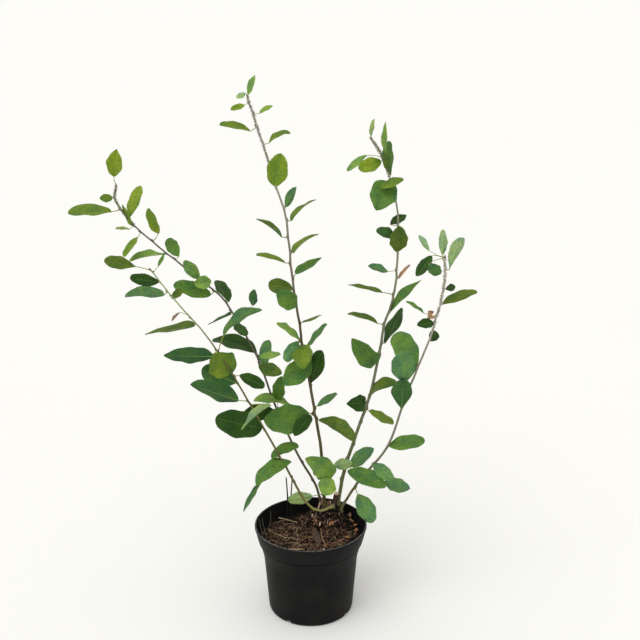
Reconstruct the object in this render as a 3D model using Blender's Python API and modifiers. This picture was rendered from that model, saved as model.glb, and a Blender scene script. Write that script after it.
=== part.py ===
"""Potted juneberry: a young shrub of five slender stems in a round nursery pot.

Blender units are metres and +Z is up. The origin is the centre of the pot's flat
underside, +X is to the right and -Y is the side the plant is seen from. The sizes
below are in millimetres and degrees, and MM turns them into metres.

The plant is an assembly: the pot, the potting mix in it, five tapering stems (the
lowest bend of one is a piece of its own) and the masses of foliage along them. Each
mass is a thin, uneven pad round one leaf or a few neighbours, with its narrow end at
the stem that carries it.
"""

import math

import bmesh
import bpy
import numpy as np
from mathutils import Vector
from mathutils.bvhtree import BVHTree

MM = 0.001
NAME = "potted_juneberry"
GAP = 0.3

# The pot: a thin moulded body that flares to a ledge, then a band with a bead along the rim
SEGMENTS = 40
RIM_RADIUS = 85.0
RIM_HEIGHT = 140.0
BEAD_HEIGHT = 4.0
BEAD_THICKNESS = 2.4
WALL = 1.2
FLOOR = 1.5
BASE_RADIUS = 61.2
CORNER_HEIGHT = 8.0
BODY_FOOT_RADIUS = 65.0
BODY_TOP_HEIGHT = 86.0
BODY_TOP_RADIUS = 71.2
LEDGE_HEIGHT = 112.5
LEDGE_RADIUS = 77.8
SHOULDER_FLARE = 1.3
BAND_FOOT_HEIGHT = 114.0
BAND_FOOT_RADIUS = 79.2
BAND_TOP_RADIUS = 84.3
BAND_FLARE = 0.85
DRAIN_COUNT = 4
DRAIN_RADIUS = 6.0
DRAIN_FIRST_ANGLE = 238.0
DRAIN_INNER_REACH = 54.0

# The potting mix: level near the rim and heaped round the stems
MIX_LEVEL = 114.0
HEAP_CENTRE = (31.0, 50.0)
HEAP_HEIGHT = 31.0
HEAP_SPREAD = 35.0
MIX_RING_STEP = 9.0

# The direction from the plant to the eye, 17.3 degrees above the horizon
VIEW_PITCH = math.radians(17.3)
TO_EYE = Vector((0.0, -math.cos(VIEW_PITCH), math.sin(VIEW_PITCH)))
VIEW_UP = Vector((0.0, math.sin(VIEW_PITCH), math.cos(VIEW_PITCH)))
VIEW_RIGHT = Vector((1.0, 0.0, 0.0))

# The stems: the radius at the foot and at the tip, and the route between them.
# A route's first point is on the potting mix, which gives it its height.
STEM_STEP = 24.0
LOW_BEND_STEP = 8.0
END_LENGTH = 1.5
FLARE_REACH = 6.0
FLARE_SHARE = 0.4
FOOT_RISE = 4.0
STEMS = {
    "front_left": {
        "radii": (2.0, 0.85),
        "foot": (35, 41),
        "route": ((30, 32, 150), (14, 20, 150), (-8, 16, 168), (-38, 8, 231), (-74, -5, 309),
                  (-116, -27, 401), (-148, -47, 462), (-176, -62, 503), (-208, -88, 559)),
    },
    "back_left": {
        "radii": (1.95, 0.85),
        "foot": (15, 56),
        "route": ((6, 58, 178), (-20, 62, 224), (-55, 69, 305), (-82, 71, 383), (-127, 72, 469),
                  (-167, 70, 507), (-243, 64, 575), (-278, 60, 621), (-277, 58, 646)),
    },
    "centre": {
        "radii": (2.6, 0.9),
        "foot": (22, 46),
        "route": ((16, 46, 238), (10, 42, 282), (-12, 28, 423), (-25, 18, 519), (-33, 12, 605),
                  (-47, 10, 656), (-84, 18, 774)),
    },
    "back_right": {
        "radii": (3.0, 0.9),
        "foot": (43, 52),
        "route": ((53, 64, 198), (75, 76, 267), (91, 84, 312), (103, 92, 368), (113, 100, 425),
                  (127, 106, 471), (132, 114, 533), (130, 122, 602), (108, 134, 675),
                  (90, 136, 704)),
    },
    "front_right": {
        "radii": (2.1, 1.0),
        "foot": (48, 41),
        "route": ((72, 40, 187), (115, 18, 257), (137, -2, 339), (155, -18, 400), (173, -34, 464),
                  (183, -48, 527), (182, -56, 568)),
    },
}
LOW_BEND_STEM = "front_left"
LOW_BEND_END = (-8, 16, 168)

# The foliage. Each mass has the height on its stem where it springs, the clock angle
# of its run as seen from the eye (0 up, 90 right), its lean toward the eye, its length
# and width, its turn about its own run (0 faces the eye, 90 is edge on) and its arch.
PAD_SEGMENTS = 8
PAD_RINGS = 7
PAD_THICKNESS = 5.0
PAD_UNEVEN = 0.12
ARCH = 0.06
FOLIAGE = {
    "front_left": (
        (558, -76, 20, 64, 20, 40),
        (530, -86, -15, 64, 34, 30),
        (474, -100, 10, 74, 20, 60),
        (438, -93, 15, 78, 30, 30),
        (424, 45, -15, 94, 26, 45),
        (392, -86, 40, 56, 38, 10),
        (348, -76, -15, 88, 34, 25),
        (290, -71, 20, 79, 40, 10),
        (230, -125, 20, 108, 30, 30, 0.12),
    ),
    "back_left": (
        (646, 0, 30, 58, 26, 20),
        (611, -92, 10, 78, 22, 30),
        (596, 23, -30, 62, 20, 45),
        (561, -8, 35, 62, 24, 20),
        (551, -107, 20, 62, 22, 50),
        (491, -90, 25, 62, 24, 20, 0.0),
        (383, -70, -20, 78, 30, 30),
        (368, 70, 35, 52, 36, 0),
        (300, -100, 20, 64, 30, 30),
    ),
    "centre": (
        (774, 17, 10, 34, 18, 30),
        (730, -80, 15, 56, 20, 40),
        (705, 53, -20, 46, 18, 50),
        (653, 9, 25, 56, 34, 0),
        (603, 46, -20, 62, 26, 50),
        (581, -60, 20, 56, 18, 70),
        (519, 50, -25, 60, 26, 50),
        (485, -55, 40, 58, 40, 0),
        (405, 38, -20, 60, 24, 60),
        (350, 18, 30, 68, 32, 30),
        (388, -130, 25, 70, 42, 10),
        (310, -107, 15, 86, 44, 10),
        (298, 105, 25, 70, 26, 45, 0.16),
        (186, -30, 55, 66, 40, 0),
    ),
    "back_right": (
        (684, -114, 20, 58, 32, 10),
        (652, -1, -15, 88, 28, 10),
        (646, -152, 35, 60, 40, 0),
        (530, 0, 45, 60, 34, 0),
        (444, 48, 10, 74, 28, 50),
        (397, 34, -25, 74, 34, 40),
        (471, -77, 15, 78, 20, 70),
        (422, -71, -15, 64, 22, 60),
        (380, -85, 20, 56, 50, 10),
        (314, 65, 30, 60, 26, 50),
    ),
    "front_right": (
        (562, -108, 10, 56, 28, 20),
        (566, 1, -35, 47, 18, 20),
        (551, 31, 30, 54, 24, 20),
        (500, 70, 15, 56, 28, 40),
        (400, -29, 30, 62, 42, 0),
        (366, -13, -30, 64, 42, 0),
        (329, 2, 45, 60, 32, 0),
        (257, 79, 15, 61, 28, 20),
        (196, 103, 25, 84, 36, 30),
        (177, 149, 25, 70, 32, 10),
    ),
}

# Colour, roughness and metallic value of each material
MATERIALS = {
    "pot_plastic": ((0.022, 0.022, 0.025), 0.55, 0.0),
    "potting_mix": ((0.085, 0.050, 0.032), 0.95, 0.0),
    "young_bark": ((0.165, 0.135, 0.085), 0.75, 0.0),
    "foliage": ((0.095, 0.190, 0.035), 0.60, 0.0),
}


def material(name):
    """A Principled material with the named finish, made once."""
    made = bpy.data.materials.get(name)
    if made is None:
        colour, roughness, metallic = MATERIALS[name]
        made = bpy.data.materials.new(name)
        made.use_nodes = True
        shader = made.node_tree.nodes["Principled BSDF"]
        shader.inputs["Base Color"].default_value = (*colour, 1.0)
        shader.inputs["Roughness"].default_value = roughness
        shader.inputs["Metallic"].default_value = metallic
        made.diffuse_color = (*colour, 1.0)
    return made


def add_object(name, data, collection, finish=None):
    """An object for a mesh or curve, linked to its collection and given its finish."""
    new = bpy.data.objects.new(name, data)
    collection.objects.link(new)
    if finish is not None:
        data.materials.append(material(finish))
    return new


def turned_mesh(name, profile):
    """The mesh of an open profile of (radius, height) pairs turned once about Z."""
    outline = bpy.data.meshes.new(name)
    points = [(radius * MM, 0.0, height * MM) for radius, height in profile]
    edges = [(i, i + 1) for i in range(len(points) - 1)]
    outline.from_pydata(points, edges, [])
    holder = bpy.data.objects.new(name, outline)
    bpy.context.scene.collection.objects.link(holder)
    screw = holder.modifiers.new("turn", "SCREW")
    screw.steps = SEGMENTS
    screw.render_steps = SEGMENTS
    screw.use_merge_vertices = True
    screw.merge_threshold = 0.0001
    graph = bpy.context.evaluated_depsgraph_get()
    turned = bpy.data.meshes.new_from_object(holder.evaluated_get(graph))
    turned.name = name
    bpy.data.objects.remove(holder)
    return turned


def outer_radius(height):
    """The pot's outer radius at a height: rounded corner, body, shoulder, ledge, band."""
    if height < CORNER_HEIGHT:
        share = 1.0 - height / CORNER_HEIGHT
        drop = (BODY_FOOT_RADIUS - BASE_RADIUS) * (1.0 - math.sqrt(1.0 - share * share))
        return BODY_FOOT_RADIUS - drop
    if height <= BODY_TOP_HEIGHT:
        share = (height - CORNER_HEIGHT) / (BODY_TOP_HEIGHT - CORNER_HEIGHT)
        return BODY_FOOT_RADIUS + (BODY_TOP_RADIUS - BODY_FOOT_RADIUS) * share
    if height <= LEDGE_HEIGHT:
        share = (height - BODY_TOP_HEIGHT) / (LEDGE_HEIGHT - BODY_TOP_HEIGHT)
        return BODY_TOP_RADIUS + (LEDGE_RADIUS - BODY_TOP_RADIUS) * share ** SHOULDER_FLARE
    band_top = RIM_HEIGHT - BEAD_HEIGHT
    share = (height - BAND_FOOT_HEIGHT) / (band_top - BAND_FOOT_HEIGHT)
    share = min(max(share, 0.0), 1.0)
    return BAND_FOOT_RADIUS + (BAND_TOP_RADIUS - BAND_FOOT_RADIUS) * share ** BAND_FLARE


def even_heights(top, foot, steps):
    """Even heights from the top of a stretch of the wall down to its foot."""
    return [top + (foot - top) * i / steps for i in range(steps + 1)]


def wall_heights(steps):
    """Heights down the band, over the ledge, down the shoulder, to the top of the body."""
    band = even_heights(RIM_HEIGHT - BEAD_HEIGHT, BAND_FOOT_HEIGHT, steps)
    return band + even_heights(LEDGE_HEIGHT, BODY_TOP_HEIGHT, steps)


def corner_heights(steps):
    """Heights down the rounded bottom corner, closer together near the base."""
    return [CORNER_HEIGHT * (1.0 - math.sin(0.5 * math.pi * i / steps)) for i in range(steps + 1)]


def make_pot(collection, cutters):
    """The pot: a thin turned wall on a flat floor, with drain holes at its corner."""
    inner = [(0.0, FLOOR), (BASE_RADIUS - WALL - 1.0, FLOOR)]
    inner += [(outer_radius(h) - WALL, max(h, FLOOR + 1.0)) for h in reversed(corner_heights(2)[:-1])]
    inner += [(outer_radius(h) - WALL, h) for h in reversed(wall_heights(2))]
    bead_middle = RIM_RADIUS - 0.5 * BEAD_THICKNESS
    bead = [
        (RIM_RADIUS - BEAD_THICKNESS, RIM_HEIGHT - 0.8),
        (bead_middle, RIM_HEIGHT),
        (RIM_RADIUS, RIM_HEIGHT - 1.0),
        (RIM_RADIUS, RIM_HEIGHT - BEAD_HEIGHT),
    ]
    outer = [(outer_radius(h), h) for h in wall_heights(2)]
    outer += [(outer_radius(h), h) for h in corner_heights(3)]
    outer.append((0.0, 0.0))
    pot = add_object("pot", turned_mesh("pot", inner + bead + outer), collection, "pot_plastic")

    holes = bmesh.new()
    for index in range(DRAIN_COUNT):
        angle = math.radians(DRAIN_FIRST_ANGLE + 360.0 * index / DRAIN_COUNT)
        made = bmesh.ops.create_cone(holes, cap_ends=True, segments=12, depth=20.0 * MM,
                                     radius1=DRAIN_RADIUS * MM, radius2=DRAIN_RADIUS * MM)
        outward = Vector((math.cos(angle), math.sin(angle), 0.0))
        turn = outward.to_track_quat("Z", "Y").to_matrix().to_4x4()
        turn.translation = outward * (DRAIN_INNER_REACH + 10.0) * MM
        bmesh.ops.transform(holes, matrix=turn, verts=made["verts"])
    hole_mesh = bpy.data.meshes.new("drain_holes")
    holes.to_mesh(hole_mesh)
    holes.free()
    cutter = add_object("drain_holes", hole_mesh, cutters)
    cutter.hide_render = True
    cutter.display_type = "WIRE"
    cut = pot.modifiers.new("drain_holes", "BOOLEAN")
    cut.operation = "DIFFERENCE"
    cut.object = cutter
    cut.solver = "EXACT"
    pot.data.shade_smooth()
    pot.data.set_sharp_from_angle(angle=math.radians(40.0))


def heap(x, y):
    """The height in mm of the heap round the stems, a bell over its centre."""
    away = math.hypot(x - HEAP_CENTRE[0], y - HEAP_CENTRE[1])
    return HEAP_HEIGHT * math.exp(-(away / HEAP_SPREAD) ** 2)


def make_mix(collection):
    """The potting mix: a turned body inside the pot, with its top raised into the heap."""
    def fitted(height):
        return outer_radius(height) - WALL - GAP

    top_radius = fitted(MIX_LEVEL) - 2.0
    ring_count = int(top_radius // MIX_RING_STEP)
    profile = [(top_radius * i / ring_count, MIX_LEVEL) for i in range(ring_count + 1)]
    profile += [(fitted(h), h) for h in even_heights(LEDGE_HEIGHT, BODY_TOP_HEIGHT, 2)]
    profile.append((fitted(CORNER_HEIGHT) - 0.3, CORNER_HEIGHT))
    profile += [(BASE_RADIUS - WALL - 3.0, FLOOR + GAP), (0.0, FLOOR + GAP)]
    mesh = turned_mesh("potting_mix", profile)
    for vertex in mesh.vertices:
        if vertex.co.z > (MIX_LEVEL - 1.0) * MM:
            x, y = vertex.co.x / MM, vertex.co.y / MM
            edge = min(1.0, (top_radius - math.hypot(x, y)) / MIX_RING_STEP)
            ripple = 1.2 * math.sin(0.21 * x + 1.0) * math.sin(0.17 * y + 2.0) * edge
            vertex.co.z += (heap(x, y) * (0.35 + 0.65 * edge) + ripple) * MM
    return add_object("potting_mix", mesh, collection, "potting_mix")


def ground_under(surface, x, y, radius):
    """The height in mm of the highest potting mix under a round foot."""
    heights = []
    for turn in range(12):
        angle = math.tau * turn / 12
        for share in (0.0, 0.5, 1.0):
            px = (x + share * radius * math.cos(angle)) * MM
            py = (y + share * radius * math.sin(angle)) * MM
            hit = surface.ray_cast(Vector((px, py, 1.0)), Vector((0.0, 0.0, -1.0)))[0]
            heights.append(hit.z / MM)
    return max(heights)


class Stem:
    """One stem: a smooth route through its points, and a radius that tapers along it."""

    def __init__(self, name, surface):
        sizes = STEMS[name]
        self.name = name
        self.foot_radius, self.tip_radius = sizes["radii"]
        x, y = sizes["foot"]
        foot_z = ground_under(surface, x, y, 1.4 * self.foot_radius) + GAP
        above_foot = smooth_line(np.array([(x, y, foot_z + FOOT_RISE), *sizes["route"]], dtype=float))
        self.line = np.vstack(((x, y, foot_z), above_foot))
        steps = np.linalg.norm(np.diff(self.line, axis=0), axis=1)
        self.along = np.concatenate(([0.0], np.cumsum(steps)))
        self.length = self.along[-1]

    def point(self, distance):
        """The centre of the stem at a distance along it."""
        return np.array([np.interp(distance, self.along, self.line[:, axis]) for axis in range(3)])

    def tangent(self, distance):
        """The stem's direction at a distance along it."""
        step = self.point(distance + 1.0) - self.point(distance - 1.0)
        return step / np.linalg.norm(step)

    def radius(self, distance):
        """The radius at a distance: an even taper with a flare at the foot."""
        share = distance / self.length
        plain = self.tip_radius + (self.foot_radius - self.tip_radius) * (1.0 - share) ** 1.2
        return plain + FLARE_SHARE * self.foot_radius * math.exp(-distance / FLARE_REACH)

    def distance_at_height(self, height):
        """The distance along the stem, past its low bend, where it reaches a height."""
        above = np.nonzero(self.line[:, 2] >= height)[0]
        return self.along[above[0]] if len(above) else self.length

    def distance_near(self, place):
        """The distance along the stem of its point nearest to a place."""
        return self.along[int(np.argmin(np.linalg.norm(self.line - np.array(place), axis=1)))]


def smooth_line(points, per_span=16):
    """Points of a Catmull-Rom curve through the given ones."""
    ends = np.vstack((2 * points[0] - points[1], points, 2 * points[-1] - points[-2]))
    share = np.linspace(0.0, 1.0, per_span, endpoint=False)[:, None]
    spans = []
    for before, start, stop, after in zip(ends, ends[1:], ends[2:], ends[3:]):
        spans.append(0.5 * (2 * start + (stop - before) * share
                            + (2 * before - 5 * start + 4 * stop - after) * share ** 2
                            + (3 * start - before - 3 * stop + after) * share ** 3))
    return np.vstack((*spans, points[-1]))


def make_stem_piece(name, stem, start, stop, collection):
    """One tapering tube along a stretch of a stem, flat at both ends."""
    curve = bpy.data.curves.new(name, "CURVE")
    curve.dimensions = "3D"
    curve.bevel_depth = MM
    curve.bevel_resolution = 1
    curve.use_fill_caps = True
    step = LOW_BEND_STEP if name.endswith("low_bend") else STEM_STEP
    first = start + (FOOT_RISE if start == 0.0 else END_LENGTH)
    last = stop - END_LENGTH
    count = max(3, int(round((last - first) / step)) + 1)
    distances = [start, *np.linspace(first, last, count), stop]
    spline = curve.splines.new("POLY")
    spline.points.add(len(distances) - 1)
    for point, distance in zip(spline.points, distances):
        x, y, z = stem.point(distance) * MM
        point.co = (x, y, z, 1.0)
        point.radius = stem.radius(distance)
    add_object(name, curve, collection, "young_bark")


def make_stems(stems, collection):
    """The five stems, one of them with its low bend as a piece of its own."""
    for name, stem in stems.items():
        if name == LOW_BEND_STEM:
            bend = stem.distance_near(LOW_BEND_END)
            make_stem_piece(f"stem_{name}_low_bend", stem, 0.0, bend - 0.5 * GAP, collection)
            make_stem_piece(f"stem_{name}", stem, bend + 0.5 * GAP, stem.length, collection)
        else:
            make_stem_piece(f"stem_{name}", stem, 0.0, stem.length, collection)


def run_direction(clock, lean):
    """The direction of a leaf's run from its clock angle and its lean toward the eye."""
    clock, lean = math.radians(clock), math.radians(lean)
    across = VIEW_RIGHT * math.sin(clock) + VIEW_UP * math.cos(clock)
    return (across * math.cos(lean) + TO_EYE * math.sin(lean)).normalized()


def blade_axes(run, turn):
    """The width direction and the face normal of a blade, turned about its run."""
    facing = (TO_EYE - run * TO_EYE.dot(run)).normalized()
    side = run.cross(facing)
    if side.z < 0.0:
        side = -side
    turn = math.radians(turn)
    face = facing * math.cos(turn) + side * math.sin(turn)
    return run.cross(face).normalized(), face


def pad_outline(share):
    """The half width of a pad along its run: a thin neck, then a rounded leaf shape."""
    if share < 0.17:
        return 0.05 + 0.2 * share
    blade = (share - 0.1) / 0.9
    return 0.10 + 0.90 * math.sin(math.pi * blade ** 0.85) ** 0.7 if blade < 1.0 else 0.0


def make_pad(name, stem, sizes, seed, collection):
    """One mass of foliage: a ball drawn out along an arched run into a thin, uneven pad."""
    height, clock, lean, length, width, turn = sizes[:6]
    arch = sizes[6] if len(sizes) > 6 else ARCH
    run = run_direction(clock, lean)
    side, face = blade_axes(run, turn)
    distance = stem.distance_at_height(height)
    centre = Vector(stem.point(distance))
    if distance >= stem.length - 1.0:
        root = centre + run * GAP
    else:
        tangent = Vector(stem.tangent(distance))
        off_stem = (run - tangent * run.dot(tangent)).normalized()
        root = centre + off_stem * (stem.radius(distance) + GAP)
    chance = np.random.default_rng(seed)
    phases = chance.uniform(0.0, math.tau, 4)

    ball = bmesh.new()
    bmesh.ops.create_uvsphere(ball, u_segments=PAD_SEGMENTS, v_segments=PAD_RINGS, radius=1.0)
    for vertex in ball.verts:
        share = math.acos(max(-1.0, min(1.0, vertex.co.z))) / math.pi
        angle = math.atan2(vertex.co.y, vertex.co.x)
        bulge = 4.0 * share * (1.0 - share)
        spine = root + run * (length * share) + Vector((0.0, 0.0, arch * length * bulge))
        uneven = 1.0 + PAD_UNEVEN * math.sin(3.0 * angle + phases[0]) * math.sin(5.0 * share + phases[1])
        half_width = 0.5 * width * pad_outline(share) * uneven
        half_thickness = 0.5 * PAD_THICKNESS * max(pad_outline(share), 0.25) ** 0.6
        if share in (0.0, 1.0) or abs(vertex.co.z) > 0.9999:
            half_width = half_thickness = 0.0
        cup = 0.08 * width * bulge * math.sin(4.0 * share + phases[2]) * math.cos(angle) ** 2
        place = spine + side * (half_width * math.cos(angle))
        place += face * (half_thickness * math.sin(angle) + cup)
        vertex.co = place * MM
    mesh = bpy.data.meshes.new(name)
    ball.to_mesh(mesh)
    ball.free()
    mesh.shade_smooth()
    add_object(name, mesh, collection, "foliage")


def make_foliage(stems, collection):
    """Every mass of foliage, numbered along the stem that carries it."""
    seed = 0
    for name, rows in FOLIAGE.items():
        for index, sizes in enumerate(rows, start=1):
            seed += 1
            make_pad(f"leaves_{name}_{index:02d}", stems[name], sizes, seed, collection)


def main():
    """Clear the scene and build the plant in its pot."""
    for old in list(bpy.data.objects):
        bpy.data.objects.remove(old)
    collection = bpy.data.collections.new(NAME)
    cutters = bpy.data.collections.new("cutters")
    bpy.context.scene.collection.children.link(collection)
    bpy.context.scene.collection.children.link(cutters)

    make_pot(collection, cutters)
    mix = make_mix(collection)
    faces = [tuple(face.vertices) for face in mix.data.polygons]
    surface = BVHTree.FromPolygons([vertex.co.copy() for vertex in mix.data.vertices], faces)
    stems = {name: Stem(name, surface) for name in STEMS}
    make_stems(stems, collection)
    make_foliage(stems, collection)


main()
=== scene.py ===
"""Looks of the potted juneberry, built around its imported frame.

The pot, the potting mix with its litter of bark and straw, five shoots and their leaves
are each a class that holds its own sizes. Sizes are in millimetres and degrees, and MM
turns them into metres. The origin is the centre of the pot's underside, +X is to the
right and -Y is the side the plant is seen from.
"""

from __future__ import annotations

import logging
import math
from dataclasses import dataclass, field
from enum import Enum

import bpy
import numpy as np
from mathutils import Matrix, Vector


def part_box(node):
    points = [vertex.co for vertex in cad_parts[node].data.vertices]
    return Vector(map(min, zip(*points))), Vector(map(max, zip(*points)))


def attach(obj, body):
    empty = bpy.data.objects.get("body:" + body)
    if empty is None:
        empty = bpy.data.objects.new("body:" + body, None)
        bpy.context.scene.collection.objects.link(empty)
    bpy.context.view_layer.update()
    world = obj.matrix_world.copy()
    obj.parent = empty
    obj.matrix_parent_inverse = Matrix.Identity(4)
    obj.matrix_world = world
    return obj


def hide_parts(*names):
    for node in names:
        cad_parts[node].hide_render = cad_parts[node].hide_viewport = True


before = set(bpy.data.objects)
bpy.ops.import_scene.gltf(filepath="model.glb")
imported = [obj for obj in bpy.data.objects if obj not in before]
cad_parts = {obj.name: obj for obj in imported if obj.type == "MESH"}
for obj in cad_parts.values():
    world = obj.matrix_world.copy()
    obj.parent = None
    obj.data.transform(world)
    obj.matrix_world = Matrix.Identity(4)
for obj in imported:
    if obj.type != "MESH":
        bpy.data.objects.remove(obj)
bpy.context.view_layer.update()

MM = 0.001
LOG = logging.getLogger("juneberry")

Pair = tuple[float, float]
Triple = tuple[float, float, float]
Socket = bpy.types.NodeSocket
Chance = np.random.Generator

# The direction from the plant to the eye, 17.3 degrees above the horizon
EYE_PITCH = math.radians(17.3)
TO_EYE = np.array((0.0, -math.cos(EYE_PITCH), math.sin(EYE_PITCH)))
EYE_UP = np.array((0.0, math.sin(EYE_PITCH), math.cos(EYE_PITCH)))
EYE_RIGHT = np.array((1.0, 0.0, 0.0))
UP = np.array((0.0, 0.0, 1.0))


# Arrays and surfaces

def unit(vectors: np.ndarray) -> np.ndarray:
    """Vectors scaled to length one along the last axis."""
    return vectors / np.linalg.norm(vectors, axis=-1, keepdims=True)


def seen_direction(clock: float, lean: float) -> np.ndarray:
    """A direction from how the eye sees it.

    Args:
        clock: Angle in degrees in the picture, 0 up and 90 to the right.
        lean: Angle in degrees out of the picture toward the eye.

    Returns:
        The unit vector in the scene's frame.
    """
    clock, lean = math.radians(clock), math.radians(lean)
    across = EYE_RIGHT * math.sin(clock) + EYE_UP * math.cos(clock)
    return across * math.cos(lean) + TO_EYE * math.sin(lean)


def smooth_line(points: np.ndarray, per_span: int = 16) -> np.ndarray:
    """Points of a Catmull-Rom curve through the given ones.

    Each span is the cubic whose end slopes are half the chord between its neighbours.

    Args:
        points: The points to pass through, one a row.
        per_span: Points made for each span.

    Returns:
        The curve's points, ending on the last given one.
    """
    ends = np.vstack((2 * points[0] - points[1], points, 2 * points[-1] - points[-2]))
    share = np.linspace(0.0, 1.0, per_span, endpoint=False)[:, None]
    spans = [0.5 * (2 * start + (stop - before) * share
                    + (2 * before - 5 * start + 4 * stop - after) * share ** 2
                    + (3 * start - before - 3 * stop + after) * share ** 3)
             for before, start, stop, after in zip(ends, ends[1:], ends[2:], ends[3:])]
    return np.vstack((*spans, points[-1]))


def round_angles(count: int) -> np.ndarray:
    """Even angles once round, in radians."""
    return np.arange(count) * math.tau / count


def share_between(value: np.ndarray, low: float, high: float) -> np.ndarray:
    """How far a value lies from one level to another, kept within 0 and 1."""
    return np.clip((value - low) / (high - low), 0.0, 1.0)


def lengths_along(line: np.ndarray) -> np.ndarray:
    """The distance of each point of a line from its first, along the line."""
    return np.concatenate(([0.0], np.cumsum(np.linalg.norm(np.diff(line, axis=0), axis=1))))


def waves(x: np.ndarray, y: np.ndarray, wavelength: float, chance: Chance,
          count: int = 14, spread: Pair = (0.6, 1.6)) -> np.ndarray:
    """Uneven ground: the mean of sines in random directions with lengths near one value.

    Args:
        x: First coordinate.
        y: Second coordinate.
        wavelength: The middle length of the waves.
        chance: The source of directions, lengths and phases.
        count: Number of sines.
        spread: The least and the greatest length, as shares of the middle one.

    Returns:
        Heights with a spread of about one.
    """
    total = np.zeros(np.broadcast(x, y).shape)
    for _ in range(count):
        heading, phase = chance.uniform(0.0, math.tau, 2)
        rate = math.tau / (wavelength * chance.uniform(*spread))
        total += np.sin(rate * (x * math.cos(heading) + y * math.sin(heading)) + phase)
    return total * math.sqrt(2.0 / count)


def grid_quads(rows: int, columns: int, closed: bool = False) -> np.ndarray:
    """Faces of a grid numbered row by row, each facing column direction x row direction.

    Args:
        rows: Number of rows of points.
        columns: Number of points in a row.
        closed: Whether the last column joins the first.

    Returns:
        Four point numbers a face.
    """
    row = np.arange(rows - 1)[:, None] * columns
    column = np.arange(columns if closed else columns - 1)[None, :]
    after = (column + 1) % columns
    corners = (row + column, row + after, row + columns + after, row + columns + column)
    return np.stack(corners, axis=-1).reshape(-1, 4)


def pole_fans(rows: int, columns: int) -> np.ndarray:
    """Triangles that close a tube's two ends onto the two points after its grid.

    Args:
        rows: Number of rings.
        columns: Number of points in a ring.

    Returns:
        Three point numbers a face, first those of the first end.
    """
    around = np.arange(columns)
    after = (around + 1) % columns
    first_pole = np.full(columns, rows * columns)
    last_ring = (rows - 1) * columns
    first = np.stack((first_pole, after, around), axis=-1)
    last = np.stack((first_pole + 1, last_ring + around, last_ring + after), axis=-1)
    return np.vstack((first, last))


def across_line(line: np.ndarray, reference: np.ndarray) -> tuple[np.ndarray, np.ndarray]:
    """Two directions square to a line at each of its points.

    Args:
        line: The line's points.
        reference: A direction that is never along the line.

    Returns:
        Up, the reference made square to the line, and the side, so that side x up runs
        along it.
    """
    along = unit(np.gradient(line, axis=0))
    up = unit(reference - (along @ reference)[:, None] * along)
    return up, np.cross(up, along)


def points_at(places: float | np.ndarray, marks: np.ndarray, line: np.ndarray) -> np.ndarray:
    """Vectors at places between marks, where the line's rows are those at the marks."""
    return np.stack([np.interp(places, marks, line[:, axis]) for axis in range(3)], axis=-1)


@dataclass
class Shape:
    """Points with four-sided and three-sided faces, all as whole arrays."""

    points: np.ndarray
    quads: np.ndarray
    triangles: np.ndarray = field(default_factory=lambda: np.empty((0, 3), dtype=int))


def tube(line: np.ndarray, radii: np.ndarray, sides: int, reference: np.ndarray) -> Shape:
    """A closed tube: rings of points about a line, and a pole at each end.

    A ring's point at angle a is the centre plus radius times (side cos a + up sin a).

    Args:
        line: The centre line, one point a ring.
        radii: A radius for each ring, or for each point of each ring.
        sides: Points in a ring.
        reference: A direction that is never along the line.

    Returns:
        The tube's shape.
    """
    up, side = across_line(line, reference)
    angle = round_angles(sides)
    radii = np.broadcast_to(np.reshape(radii, (len(line), -1)), (len(line), sides))
    spokes = side[:, None] * np.cos(angle)[:, None] + up[:, None] * np.sin(angle)[:, None]
    rings = line[:, None] + spokes * radii[..., None]
    points = np.vstack((rings.reshape(-1, 3), line[0], line[-1]))
    return Shape(points, grid_quads(len(line), sides, closed=True), pole_fans(len(line), sides))


def turned(radius: np.ndarray, height: np.ndarray, segments: int) -> Shape:
    """A closed turned body: a profile turned about Z, with a pole under and one above.

    The profile runs from beside the lower pole, outward and up, and back to the axis.

    Args:
        radius: The profile's radii, or radii for each point of each ring.
        height: The profile's heights, likewise.
        segments: Points in a ring.

    Returns:
        The body's shape.
    """
    rows = len(radius)
    angle = round_angles(segments)
    radius = np.broadcast_to(np.reshape(radius, (rows, -1)), (rows, segments))
    height = np.broadcast_to(np.reshape(height, (rows, -1)), (rows, segments))
    rings = np.stack((radius * np.cos(angle), radius * np.sin(angle), height), axis=-1)
    poles = ((0.0, 0.0, height[0].mean()), (0.0, 0.0, height[-1].mean()))
    points = np.vstack((rings.reshape(-1, 3), *poles))
    return Shape(points, grid_quads(rows, segments, closed=True), pole_fans(rows, segments))


LUMP_RINGS = 3
LUMP_SIDES = 6


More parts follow.
